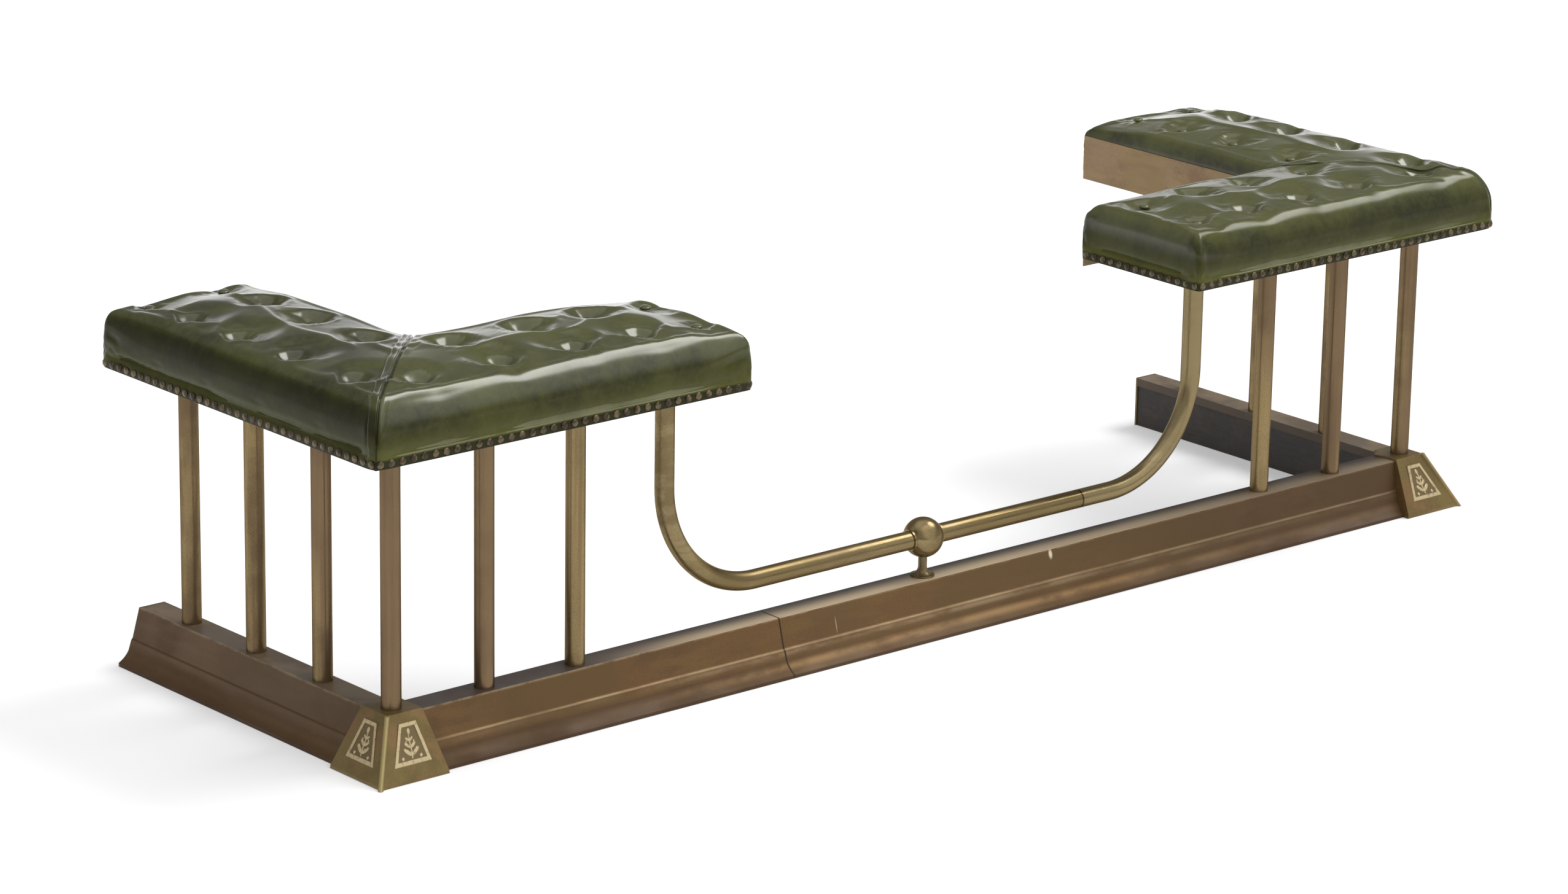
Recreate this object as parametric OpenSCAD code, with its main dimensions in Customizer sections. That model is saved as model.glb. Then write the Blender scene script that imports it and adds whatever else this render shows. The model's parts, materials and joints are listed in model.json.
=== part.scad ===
// Club fender: a U-shaped moulded brass kerb on a dark timber core, upright brass
// tubes, a dropped centre rail with a ball, and two L-shaped buttoned leather seats.
// Millimetres, +Z up, +X along the width, +Y towards the fireplace.
// Each side is drawn at its corner post: the front arm runs along +X from there,
// the return arm along +Y, and outward is -X or -Y. The right side is its mirror.

/* [Plan] */
// Distance between the centres of the two corner posts
corner_span = 1780; // [1640:10:2100]
// Spacing of the upright tubes along the front and the returns
post_pitch = 142; // [130:1:150]
// How far a return's plinth runs past its last post
plinth_past_post = 88; // [70:1:130]

/* [Tubes] */
// Outside diameter of the upright tubes and of the rail
tube_d = 25.4; // [22:0.2:28]
// Wall of the tubes
tube_wall = 1.6; // [1:0.1:2.4]
// Diameter of the iron rod inside each upright
rod_d = 8; // [6:0.5:10]
// Radial clearance of a rod or stud in its holes
rod_clear = 0.4; // [0.2:0.1:1]
// Radial clearance of a spigot in its tube
spigot_clear = 0.15; // [0.1:0.05:0.3]

/* [Rail] */
// Height of the rail's centre above the plinth's top
rail_rise = 53; // [44:1:70]
// Radius of the rail's bends at the tube's centre
bend_r = 150; // [110:1:170]
// Straight run of the right tube between its bend and the joint in the rail
splice_run = 58; // [45:1:90]
// Length of the reduced end of the rail inside the right tube
splice_len = 32; // [20:1:40]
// Diameter of the ball on the rail
ball_d = 54; // [44:1:60]
// Place of the ball along the front, from the middle
ball_x = -23; // [-60:1:60]
// Diameter of the ball's collars
collar_d = 29; // [29:0.5:34]
// How far each collar stands out of the ball, past where it meets the tube
collar_out = 3; // [2:0.5:5]
// Length of each spigot on the ball
spigot_len = 24; // [15:1:35]
// Diameter of the rail foot where it stands on the plinth
foot_d = 32; // [26:1:38]
// Diameter of the rail foot's neck
neck_d = 11.6; // [10.5:0.2:16]

/* [Plinth] */
// Height of the plinth
plinth_h = 73; // [66:1:90]
// Width of the plinth's top
plinth_top = 39; // [37:0.5:46]
// Reach of the step in the plinth's face, from the post line
step_reach = 30.5; // [29:0.5:33]
// Height of the step in the plinth's face
step_z = 32; // [26:0.5:38]
// Depth of the step in the plinth's face
step_depth = 2; // [1:0.5:3]
// Reach of the plinth's face where its foot starts to flare
flare_reach = 37; // [36:0.5:42]
// Height at which the plinth's foot starts to flare
flare_z = 19; // [14:0.5:24]
// Reach of the plinth's foot, from the post line
plinth_reach = 52.5; // [46:0.5:55]
// Height of the upright edge at the plinth's foot
edge_z = 4.5; // [3:0.5:7]
// How far the brass is turned down on the fire side
lip_h = 12; // [6:1:20]
// Thickness of the plinth's sheet brass
sheet_t = 1.6; // [1:0.1:2.2]
// Gap between the sheet brass and its timber core
core_gap = 0.3; // [0.2:0.1:0.6]
// Place of the butt joint in the front plinth, from the middle
joint_x = -288; // [-340:1:-200]
// Gap at that joint and at each mitre
joint_gap = 0.5; // [0.2:0.1:1]
// Length of the strap behind the joint
strap_len = 90; // [60:5:120]
// Thickness of the plates that close the plinth's back ends
end_plate_t = 3; // [2:0.5:5]

/* [Corner block] */
// How far the corner block's top stands above the plinth's
block_rise = 3; // [2:0.5:5]
// Reach of the corner block at the floor, from the post line
block_reach = 62; // [58:0.5:68]
// Reach of the corner block at its top
block_top = 22.5; // [22:0.5:26]
// Length of the block along the plinth at the floor, past the corner post
block_run = 42; // [36:0.5:55]
// Length of the block along the plinth at its top, past the corner post
block_top_run = 30; // [24:0.5:36]
// Height of the block's upright edge at the floor
block_edge = 4; // [2:0.5:6]
// Radius of the raised bead on the block's corner
bead_r = 3.4; // [2:0.2:5]
// Margin between the block's side edges and its raised panel
panel_margin = 17.5; // [11:0.5:19]
// Margin between the block's top and its raised panel
panel_drop = 11; // [7:0.5:14]
// Height of the raised panel's foot
panel_z = 20; // [14:1:26]
// Width of the panel's raised border
panel_border = 4.5; // [3:0.5:6]
// How far the panel's border stands out
panel_raise = 1.6; // [0.8:0.2:2.5]
// How far the panel's ground stands out
panel_ground = 0.8; // [0.4:0.2:1.4]

/* [Seat] */
// Height of the leather's bottom edge above the floor
seat_z = 410; // [380:1:440]
// Width of each arm of a seat
arm_w = 228; // [205:1:250]
// Overhang of a seat outside the posts
overhang = 82; // [76:1:95]
// How far the front arm runs past the rail's upright tube
front_past = 75; // [55:1:90]
// How far the left seat's return arm runs past its last post
return_past = 71; // [50:1:80]
// How much further the right seat's return arm runs
return_extra = 21; // [0:1:24]
// Height of the leather's upright side
side_h = 50; // [44:1:60]
// Height of the rounding above the side
round_h = 25; // [18:1:32]
// Width of the rounding on top of the outer side
round_w = 30; // [24:1:38]
// Width of the rounding on the fire side and at the arms' ends
round_in = 18; // [12:1:30]
// Extra height of the crown in the middle
crown_h = 10; // [4:1:16]
// How far the side is drawn in between its top and its nailed edge
draw_in = 3; // [1:0.5:5]
// Depth of the tufts at the outer buttons
tuft_h = 12; // [6:1:16]
// Depth of the tufts at the inner buttons
tuft_in = 9; // [4:1:14]
// Radius over which a tuft dies out
tuft_r = 56; // [46:1:64]
// Depth of the pleat from a button to the nearest edge
pleat_h = 3; // [1:0.5:5]
// Thickness of the leather and stuffing that cover the board's edge
skirt_t = 4; // [2:0.5:6]
// Clearance around the seat boards
board_gap = 0.3; // [0.2:0.1:0.6]
// Thickness of the seat boards
board_t = 20; // [16:1:22]
// Thickness of the lining under the boards
lining_t = 1; // [0.6:0.1:1.5]
// Thickness of the iron bars on the posts
bar_t = 6; // [4:0.5:8]
// Width of the iron bars
bar_w = 38; // [34:1:50]
// Height of the bare brass strip on the fire side
strip_h = 64; // [56:1:66]
// How far that strip reaches below the leather
strip_drop = 12; // [8:1:16]
// Thickness of that strip
strip_t = 2; // [1:0.5:3]

/* [Buttons and nails] */
// Diameter of the buttons
button_d = 15; // [12:0.5:18]
// Height of the buttons' domes
button_h = 5; // [3:0.5:7]
// Distance of a front arm's outer row of buttons from the outer edge
row_outer = 64; // [56:1:80]
// The same distance on a return arm
row_outer_return = 54; // [48:1:80]
// Distance of the inner row of buttons from the outer edge
row_inner = 166; // [150:1:180]
// Distance from the first button to the second
button_pitch = 125; // [110:1:130]
// How much closer each next button stands
button_squeeze = 11; // [0:1:12]
// Place of the first button on the left front arm, from the corner post
first_left = 27; // [20:1:45]
// Place of the first button on the right front arm, from the corner post
first_right = 10; // [5:1:45]
// Place of the first button on each return arm, from the corner post
first_return = 33; // [20:1:50]
// Diameter of a nail's head
nail_d = 10; // [8:0.5:12]
// Height of a nail's head
nail_h = 2.4; // [1.5:0.1:3.5]
// Spacing of the nails
nail_pitch = 16; // [14:0.5:20]
// Height of the nails above the leather's bottom edge
nail_up = 6.5; // [6:0.5:9]

/* [Fasteners] */
// Width across the flats of the rods' nuts
nut_af = 13; // [11:0.5:16]
// Height of the nuts
nut_h = 6.5; // [5:0.5:8]
// Diameter of the washers
washer_d = 20; // [17:0.5:22]
// Thickness of the washers
washer_t = 1.6; // [1:0.1:2.5]
// Depth of the pockets for nuts in the plinth's core
pocket_h = 16; // [14:0.5:20]
// Diameter of the pockets for nuts
pocket_d = 24; // [23:0.5:28]
// Height of the pocket's ceiling under the rail's foot
foot_pocket = 38; // [30:1:46]
// Shank diameter of the screws that hold the bars to the boards
screw_d = 4; // [3:0.5:5]
// Head diameter of those screws
screw_head = 9; // [7:0.5:10]
// Length of those screws
screw_len = 19; // [14:1:22]

/* [Hidden] */

$fn = 48;
fine = 0.01;             // Overlap where two solids of one piece join
cut = 1;                 // Overshoot of a cut
far = 400;               // Reach of the cutting blocks that make a mitre

front_posts = 2;         // Posts between a corner and the rail
return_posts = 3;        // Posts behind a corner
corner_x = corner_span / 2;
rail_z = plinth_h + rail_rise;
block_h = plinth_h + block_rise;
half_top = plinth_top / 2;
rail_up = (front_posts + 1) * post_pitch;          // The rail's upright, from the corner
front_end = rail_up + front_past;                  // End of the seat's front arm
return_end = return_posts * post_pitch + return_past;
right_return_end = return_end + return_extra;
plinth_end = return_posts * post_pitch + plinth_past_post;
kerb_end = plinth_end + end_plate_t;
inner = arm_w - overhang;                          // The seat's fire side, from the post line
cushion_inner = inner - strip_t - board_gap;
board_outer = -overhang + skirt_t + board_gap;
board_inner = cushion_inner - skirt_t - board_gap;
board_short = skirt_t + board_gap;                 // How far a board stops before its arm's end
board_front_end = front_end - board_short;
board_z = seat_z;
bar_z = seat_z - lining_t - bar_t;
bar_top = bar_z + bar_t;
hole_d = rod_d + 2 * rod_clear;
spigot_d = tube_d - 2 * tube_wall - 2 * spigot_clear;
front_lowest = -max(overhang + nail_h, block_reach + bead_r);
mid_y = (max(kerb_end, right_return_end + nail_h) + front_lowest) / 2;

brass = [0.45, 0.39, 0.25];
bronze = [0.42, 0.33, 0.22];
dark = [0.16, 0.14, 0.13];
iron = [0.25, 0.25, 0.27];
leather = [0.27, 0.29, 0.16];
timber = [0.55, 0.42, 0.28];

// ---- Frames: the origin is under the middle of the fender's box ----
module placed() translate([0, -mid_y, 0]) children();
module left() placed() translate([-corner_x, 0, 0]) children();
module right() placed() translate([corner_x, 0, 0]) mirror([1, 0, 0]) children();

// ---- Plane geometry ----
function unit(v) = v / norm(v);
function side_of(v) = [-v[1], v[0]];
function reversed(list) = [for (i = [len(list) - 1 : -1 : 0]) list[i]];
function mix(a, b, t) = a + (b - a) * t;

// An open path moved to its left by d, with mitred corners
function parallel(path, d) = [for (i = [0 : len(path) - 1])
  let (last = len(path) - 1,
       before = side_of(unit(path[max(i, 1)] - path[max(i, 1) - 1])),
       after = side_of(unit(path[min(i + 1, last)] - path[min(i + 1, last) - 1])),
       way = unit(before + after))
  path[i] + way * d / (way * before)];

// Extrudes an outline of (outward, up) points along +X from x0 to x1
module run_x(outline, x0, x1)
  translate([x0, 0, 0]) rotate([90, 0, 90]) linear_extrude(x1 - x0)
    polygon([for (p = outline) [-p[0], p[1]]]);

// Extrudes the same kind of outline along +Y from y0 to y1
module run_y(outline, y0, y1)
  translate([0, y1, 0]) rotate([90, 0, 0]) linear_extrude(y1 - y0)
    polygon([for (p = outline) [-p[0], p[1]]]);

// The half-spaces on the front arm's and the return arm's side of a corner's mitre
module front_side(height) translate([joint_gap / 2, 0, -cut]) linear_extrude(height + 2 * cut)
  polygon([[-far, -far], [corner_span, -far], [corner_span, far], [far, far]]);
module return_side(height) translate([0, joint_gap / 2, -cut]) linear_extrude(height + 2 * cut)
  polygon([[-far, -far], [far, far], [far, corner_span], [-far, corner_span]]);

// ---- Plinth: sheet brass over a timber core ----
// The flare is a quadratic curve from the face to the foot
flare_bend = [mix(flare_reach, plinth_reach, 0.3), mix(edge_z, flare_z, 0.4)];
flare_steps = 6;
function flare(t) = (1 - t) * (1 - t) * [flare_reach, flare_z] + 2 * t * (1 - t) * flare_bend
  + t * t * [plinth_reach, edge_z];
face_path = concat(
  [[-half_top, plinth_h], [half_top, plinth_h], [step_reach, step_z + step_depth],
   [step_reach + step_depth, step_z]],
  [for (i = [0 : flare_steps]) flare(i / flare_steps)],
  [[plinth_reach, 0]]);
sheet_path = concat([[-half_top, plinth_h - lip_h]], face_path);
sheet_outline = concat(sheet_path, reversed(parallel(sheet_path, -sheet_t)));
core_inset = sheet_t + core_gap;
core_outline = concat(parallel(sheet_path, -core_inset), [[core_inset - half_top, 0]]);
full_path = concat([[-half_top, 0]], face_path);
function grown_outline(d) = concat([[-half_top - d, -cut]], parallel(full_path, d),
  [[plinth_reach + d, -cut]]);

front_left_len = corner_x + joint_x - joint_gap / 2;
front_right_len = corner_x - joint_x - joint_gap / 2;
ball_run = corner_x - ball_x;          // The ball, from the right corner
strap_margin = 4;                      // From each edge of the top to the strap
strap_w = plinth_top - 2 * strap_margin;
strap_t = 1.5;
strap_z = plinth_h - sheet_t - strap_t;

module post_holes(places, d, z0, z1)
  for (p = places) translate([p[0], p[1], z0]) cylinder(h = z1 - z0, d = d);
front_places = [for (i = [0 : front_posts]) [i * post_pitch, 0]];
return_places = [for (i = [0 : return_posts]) [0, i * post_pitch]];
own_return_places = [for (i = [1 : return_posts]) [0, i * post_pitch]];
post_places = concat(front_places, own_return_places);
rail_place = [rail_up, 0];
ball_place = [ball_run, 0];

module front_sheet(len) difference() {
  intersection() {
    run_x(sheet_outline, -plinth_reach - cut, len);
    front_side(plinth_h);
  }
  post_holes(front_places, hole_d, plinth_h - lip_h, plinth_h + cut);
  if (len > ball_run) post_holes([ball_place], hole_d, plinth_h - lip_h, plinth_h + cut);
}

module return_sheet() difference() {
  intersection() {
    run_y(sheet_outline, -plinth_reach - cut, plinth_end);
    return_side(plinth_h);
  }
  post_holes(return_places, hole_d, plinth_h - lip_h, plinth_h + cut);
}

module front_core(len) difference() {
  intersection() {
    run_x(core_outline, -plinth_reach - cut, len);
    front_side(plinth_h);
  }
  post_holes(front_places, hole_d, -cut, plinth_h + cut);
  post_holes(front_places, pocket_d, -cut, pocket_h);
  if (len > ball_run) {
    post_holes([ball_place], hole_d, -cut, plinth_h + cut);
    post_holes([ball_place], pocket_d, -cut, foot_pocket);
  }
  translate([len - strap_len / 2, -plinth_top, strap_z - core_gap])
    cube([strap_len, 2 * plinth_top, plinth_h]);
}

module return_core() difference() {
  intersection() {
    run_y(core_outline, -plinth_reach - cut, plinth_end);
    return_side(plinth_h);
  }
  post_holes(return_places, hole_d, -cut, plinth_h + cut);
  post_holes(return_places, pocket_d, -cut, pocket_h);
}

module front_plinth_left() color(bronze) left() front_sheet(front_left_len);
module front_plinth_right() color(bronze) right() front_sheet(front_right_len);
module left_return_plinth() color(bronze) left() return_sheet();
module right_return_plinth() color(bronze) right() return_sheet();
module front_core_left() color(dark) left() front_core(front_left_len);
module front_core_right() color(dark) right() front_core(front_right_len);
module left_return_core() color(dark) left() return_core();
module right_return_core() color(dark) right() return_core();

// A flat strap soldered under the top, behind the butt joint
module joint_strap() color(brass) placed()
  translate([joint_x - strap_len / 2 + core_gap, -strap_w / 2, strap_z])
    cube([strap_len - 2 * core_gap, strap_w, strap_t]);

// The plates close the back ends and follow the kerb's outline
module end_plate() run_y(concat([[-half_top, 0]], face_path), plinth_end, kerb_end);
module left_end_plate() color(brass) left() end_plate();
module right_end_plate() color(brass) right() end_plate();

// ---- Corner blocks: hollow castings slipped over the mitres ----
block_outline = [[-block_run, 0], [-block_top_run, block_h], [block_top, block_h],
  [mix(block_reach, block_top, block_edge / block_h), block_edge * 2], [block_reach, block_edge],
  [block_reach, 0]];
block_lean = block_reach - block_top;              // How far a face leans over its height
function lean_at(z) = -mix(block_reach, block_top, z / block_h);
function run_at(z) = mix(block_run, block_top_run, z / block_h);
face_tilt = atan(block_lean / block_h);
face_len = norm([block_lean, block_h]);
panel_top = block_h - panel_drop;

// The panel's outline on the front face, its sides kept parallel to the face's edges
function panel_points(inset) = [for (c = [[panel_z + inset, 1], [panel_z + inset, -1],
    [panel_top - inset, -1], [panel_top - inset, 1]])
  [c[1] > 0 ? run_at(c[0]) - panel_margin - inset : lean_at(c[0]) + panel_margin + inset,
   c[0] * face_len / block_h]];
module on_front_face() translate([0, -block_reach, 0]) rotate([90 - face_tilt, 0, 0]) children();
module panel() on_front_face() {
  translate([0, 0, -fine]) linear_extrude(panel_ground + fine) polygon(panel_points(0));
  difference() {
    linear_extrude(panel_raise) polygon(panel_points(0));
    translate([0, 0, -cut]) linear_extrude(panel_raise + 2 * cut) polygon(panel_points(panel_border));
  }
}
module bead() intersection() {
  translate([-block_reach, -block_reach, 0]) rotate([0, atan(sqrt(2) * block_lean / block_h), 45])
    translate([0, 0, -block_edge]) cylinder(h = norm([block_lean, block_lean, block_h]) + block_edge,
      r = bead_r);
  translate([-far / 2, -far / 2, 0]) cube([far, far, block_h]);
}

module corner_block() difference() {
  union() {
    intersection() {
      run_x(block_outline, -far / 2, far / 2);
      run_y(block_outline, -far / 2, far / 2);
    }
    bead();
    panel();
    mirror([1, -1, 0]) panel();
  }
  intersection() {
    run_x(grown_outline(core_gap), -far / 2, far / 2);
    translate([-joint_gap / 2 - fine, 0, 0]) front_side(plinth_h);
  }
  intersection() {
    run_y(grown_outline(core_gap), -far / 2, far / 2);
    translate([0, -joint_gap / 2 - fine, 0]) return_side(plinth_h);
  }
  translate([half_top, half_top, -cut]) cube([far, far, block_h + 2 * cut]);
  post_holes([[0, 0]], hole_d, 0, block_h + cut);
}
module left_corner_block() color(brass) left() corner_block();
module right_corner_block() color(brass) right() corner_block();

// ---- Upright tubes ----
module tube(z0, z1) translate([0, 0, z0]) difference() {
  cylinder(h = z1 - z0, d = tube_d);
  translate([0, 0, -cut]) cylinder(h = z1 - z0 + 2 * cut, d = tube_d - 2 * tube_wall);
}
module post(along, back, z0 = plinth_h)
  color(brass) translate([along * post_pitch, back * post_pitch, 0]) tube(z0, bar_z);
module left_corner_post() left() post(0, 0, block_h);
module left_front_post_1() left() post(1, 0);
module left_front_post_2() left() post(2, 0);
module left_return_post_1() left() post(0, 1);
module left_return_post_2() left() post(0, 2);
module left_return_post_3() left() post(0, 3);
module right_corner_post() right() post(0, 0, block_h);
module right_front_post_1() right() post(1, 0);
module right_front_post_2() right() post(2, 0);
module right_return_post_1() right() post(0, 1);
module right_return_post_2() right() post(0, 2);
module right_return_post_3() right() post(0, 3);

// ---- Dropped centre rail ----
// Where a tube of this diameter meets the ball, from its centre
ball_seat = sqrt(pow(ball_d / 2, 2) - pow(collar_d / 2, 2)) + collar_out;
bend_end = rail_up + bend_r;                       // Where the rail becomes level
left_run = corner_x + ball_x - ball_seat - bend_end;
splice_x = corner_x - bend_end - splice_run;       // The rail's joint, from the middle

// A solid bent rod: upright, quarter bend, level run
module bent_rod(d, run, up_extra, run_extra) {
  translate([0, 0, rail_z + bend_r]) cylinder(h = bar_z - rail_z - bend_r + up_extra, d = d);
  translate([bend_r, 0, rail_z + bend_r]) rotate([90, 0, 0]) rotate([0, 0, 180])
    rotate_extrude(angle = 90) translate([bend_r, 0]) circle(d = d);
  translate([bend_r, 0, rail_z]) rotate([0, 90, 0]) cylinder(h = run + run_extra, d = d);
}
module rail_tube(run) translate([rail_up, 0, 0]) difference() {
  bent_rod(tube_d, run, 0, 0);
  bent_rod(tube_d - 2 * tube_wall, run, cut, cut);
}
module left_rail_tube() color(brass) left() rail_tube(left_run);
module right_rail_tube() color(brass) right() rail_tube(splice_run);

// The rail between the ball and the joint, reduced where it enters the right tube
rail_from = ball_x + ball_seat;
centre_len = splice_x - rail_from;
swage = 5;                                         // Solid length where the tube is reduced
module centre_rail() color(brass) placed() translate([rail_from, 0, rail_z]) rotate([0, 90, 0])
  difference() {
    union() {
      cylinder(h = centre_len, d = tube_d);
      cylinder(h = centre_len + splice_len, d = spigot_d);
    }
    translate([0, 0, -cut]) cylinder(h = centre_len - swage + cut, d = tube_d - 2 * tube_wall);
    cylinder(h = centre_len + splice_len + cut, d = spigot_d - 2 * tube_wall);
  }

stud_up = 14;                                      // The foot's stud inside the ball
neck_rim = 1;                                      // Flat round the neck under the ball
thread_d = rod_d + 0.2;                            // Inside of a nut or a tapped hole
// Depth below the ball's centre at which the neck's flat top meets it
neck_seat = sqrt(pow(ball_d / 2, 2) - pow(neck_d / 2 + neck_rim, 2));
neck_h = rail_z - neck_seat - plinth_h;
module rail_ball() color(brass) placed() translate([ball_x, 0, rail_z]) difference() {
  union() {
    sphere(d = ball_d);
    rotate([0, 90, 0]) {
      translate([0, 0, -ball_seat]) cylinder(h = 2 * ball_seat, d = collar_d);
      translate([0, 0, -ball_seat - spigot_len])
        cylinder(h = 2 * (ball_seat + spigot_len), d = spigot_d);
    }
  }
  translate([0, 0, -ball_d]) {
    cylinder(h = ball_d - neck_seat, d = neck_d + 2 * neck_rim);
    cylinder(h = ball_d - neck_seat + stud_up + cut, d = thread_d);
  }
}
foot_rim = 2.5;                                    // Upright rim of the foot
foot_rise = 11;                                    // Height of the foot's hollow
foot_steps = 8;
function foot_curve(t) = [mix(foot_d / 2, neck_d / 2, sin(90 * t)),
  mix(foot_rim, foot_rim + foot_rise, 1 - cos(90 * t))];
thread_spare = 3;                                  // Thread showing past a nut
// The foot's stud below the plinth's top, down past its washer and nut
stud_down = plinth_h - foot_pocket + washer_t + nut_h + thread_spare;
module rail_foot() color(brass) placed() translate([ball_x, 0, plinth_h]) rotate_extrude() polygon(
  concat([[0, -stud_down], [rod_d / 2, -stud_down], [rod_d / 2, 0], [foot_d / 2, 0]],
    [for (i = [0 : foot_steps]) foot_curve(i / foot_steps)],
    [[neck_d / 2, neck_h], [rod_d / 2, neck_h], [rod_d / 2, neck_h + stud_up],
     [0, neck_h + stud_up]]));

// Turned plugs in the rail's two top ends, each with a stud through the bar
plug_len = 30;
module rail_plug() translate([rail_up, 0, 0]) {
  translate([0, 0, bar_z - plug_len]) cylinder(h = plug_len, d = spigot_d);
  translate([0, 0, bar_z - plug_len / 2]) cylinder(h = rod_top - bar_z + plug_len / 2, d = rod_d);
}
module rail_plugs() color(iron) {
  left() rail_plug();
  right() rail_plug();
}

// ---- Rods, nuts and washers ----
rod_bottom = pocket_h - washer_t - nut_h - thread_spare;
rod_top = bar_top + nut_h + thread_spare;
module rods() for (p = post_places) translate([p[0], p[1], rod_bottom])
  cylinder(h = rod_top - rod_bottom, d = rod_d, $fn = 24);
module ring(z, h, d, fn) translate([0, 0, z]) difference() {
  cylinder(h = h, d = d, $fn = fn);
  translate([0, 0, -cut]) cylinder(h = h + 2 * cut, d = thread_d, $fn = 24);
}
module nut(z) rotate([0, 0, 30]) ring(z, nut_h, nut_af / cos(30), 6);
module nut_and_washer_below(top) {
  ring(top - washer_t, washer_t, washer_d, 32);
  nut(top - washer_t - nut_h);
}
module nuts(with_foot) {
  for (p = post_places) translate(p) nut_and_washer_below(pocket_h);
  for (p = concat(post_places, [rail_place])) translate(p) nut(bar_top);
  if (with_foot) translate(ball_place) nut_and_washer_below(foot_pocket);
}
module left_tie_rods() color(iron) left() rods();
module right_tie_rods() color(iron) right() rods();
module left_nuts_and_washers() color(iron) left() nuts(false);
module right_nuts_and_washers() color(iron) right() nuts(true);

// ---- Seats: iron bars, lining, boards, strips ----
bar_short = 24;                                    // How far a bar stops before its arm's end
screw_gap = 0.1;
front_screws = [for (i = [0 : front_posts]) [(i + 0.5) * post_pitch, 0]];
return_screws = [for (i = [0 : return_posts - 1]) [0, (i + 0.5) * post_pitch]];

module screw_shape(d, head, len, gap) {
  cylinder(h = len + gap, d = d + 2 * gap, $fn = 24);
  translate([0, 0, -gap]) cylinder(h = (head - d) / 2 + gap, d1 = head + 2 * gap, d2 = d + 2 * gap,
    $fn = 24);
}
module screws(gap) for (p = concat(front_screws, return_screws)) translate([p[0], p[1], bar_z])
  screw_shape(screw_d, screw_head, screw_len, gap);

module front_bar() difference() {
  translate([-bar_w / 2, -bar_w / 2, bar_z]) cube([front_end - bar_short + bar_w / 2, bar_w, bar_t]);
  post_holes(concat(front_places, [rail_place]), hole_d, bar_z - cut, bar_top + cut);
  screws(screw_gap);
}
module return_bar(end) difference() {
  translate([-bar_w / 2, bar_w / 2 + joint_gap, bar_z])
    cube([bar_w, end - bar_short - bar_w / 2 - joint_gap, bar_t]);
  post_holes(own_return_places, hole_d, bar_z - cut, bar_top + cut);
  screws(screw_gap);
}

// One sheet of lining in the shape of the seat, cut away round the nuts
module lining(end) difference() {
  translate([0, 0, bar_top]) linear_extrude(lining_t) polygon([
    [board_outer, board_outer], [board_front_end, board_outer], [board_front_end, board_inner],
    [board_inner, board_inner], [board_inner, end - board_short], [board_outer, end - board_short]]);
  post_holes(concat(post_places, [rail_place]), pocket_d, bar_top - cut, board_z + cut);
  screws(screw_gap);
}

nut_room = rod_top - board_z + 1;                  // Depth of the boards' pockets over the nuts
module front_board() difference() {
  translate([joint_gap / 2, 0, board_z]) linear_extrude(board_t) polygon([
    [board_outer, board_outer], [board_front_end, board_outer], [board_front_end, board_inner],
    [board_inner, board_inner]]);
  post_holes(concat(front_places, [rail_place]), pocket_d, board_z - cut, board_z + nut_room);
  screws(0);
}
module return_board(end) difference() {
  translate([0, joint_gap / 2, board_z]) linear_extrude(board_t) polygon([
    [board_outer, board_outer], [board_inner, board_inner], [board_inner, end - board_short],
    [board_outer, end - board_short]]);
  post_holes(return_places, pocket_d, board_z - cut, board_z + nut_room);
  screws(0);
}

// The strips stop where the leather turns round an arm's end
module front_strip() translate([inner - strip_t, inner - strip_t, seat_z - strip_drop])
  cube([front_end - skirt_t - inner + strip_t, strip_t, strip_h]);
module return_strip(end) translate([inner - strip_t, inner + joint_gap, seat_z - strip_drop])
  cube([strip_t, end - skirt_t - inner - joint_gap, strip_h]);

module left_front_bar() color(iron) left() front_bar();
module left_return_bar() color(iron) left() return_bar(return_end);
module left_lining() color(dark) left() lining(return_end);
module left_front_board() color(timber) left() front_board();
module left_return_board() color(timber) left() return_board(return_end);
module left_seat_screws() color(iron) left() screws(0);
module left_front_strip() color(bronze) left() front_strip();
module left_return_strip() color(bronze) left() return_strip(return_end);
module right_front_bar() color(iron) right() front_bar();
module right_return_bar() color(iron) right() return_bar(right_return_end);
module right_lining() color(dark) right() lining(right_return_end);
module right_front_board() color(timber) right() front_board();
module right_return_board() color(timber) right() return_board(right_return_end);
module right_seat_screws() color(iron) right() screws(0);
module right_front_strip() color(bronze) right() front_strip();
module right_return_strip() color(bronze) right() return_strip(right_return_end);

// ---- Leather cushions ----
// Each arm is worked out along its own length s and across it t, both from the corner
// post, t being positive towards the fire. A return arm is the same form turned over.
function button_at(first, i) = first + button_pitch * i - button_squeeze * i * (i - 1) / 2;
outer_buttons = 5;
inner_buttons = 4;                                 // These line up with the second and later ones
// An arm's rows are given as the place of its first button and its outer row's distance
left_rows = [first_left, row_outer];
right_rows = [first_right, row_outer];
return_rows = [first_return, row_outer_return];
function outer_row(rows) = [for (i = [0 : outer_buttons - 1])
  [button_at(rows[0], i), rows[1] - overhang]];
function inner_row(rows) = [for (i = [1 : inner_buttons])
  [button_at(rows[0], i), row_inner - overhang]];

function smooth(x) = let (c = min(max(x, 0), 1)) c * c * (3 - 2 * c);
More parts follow.
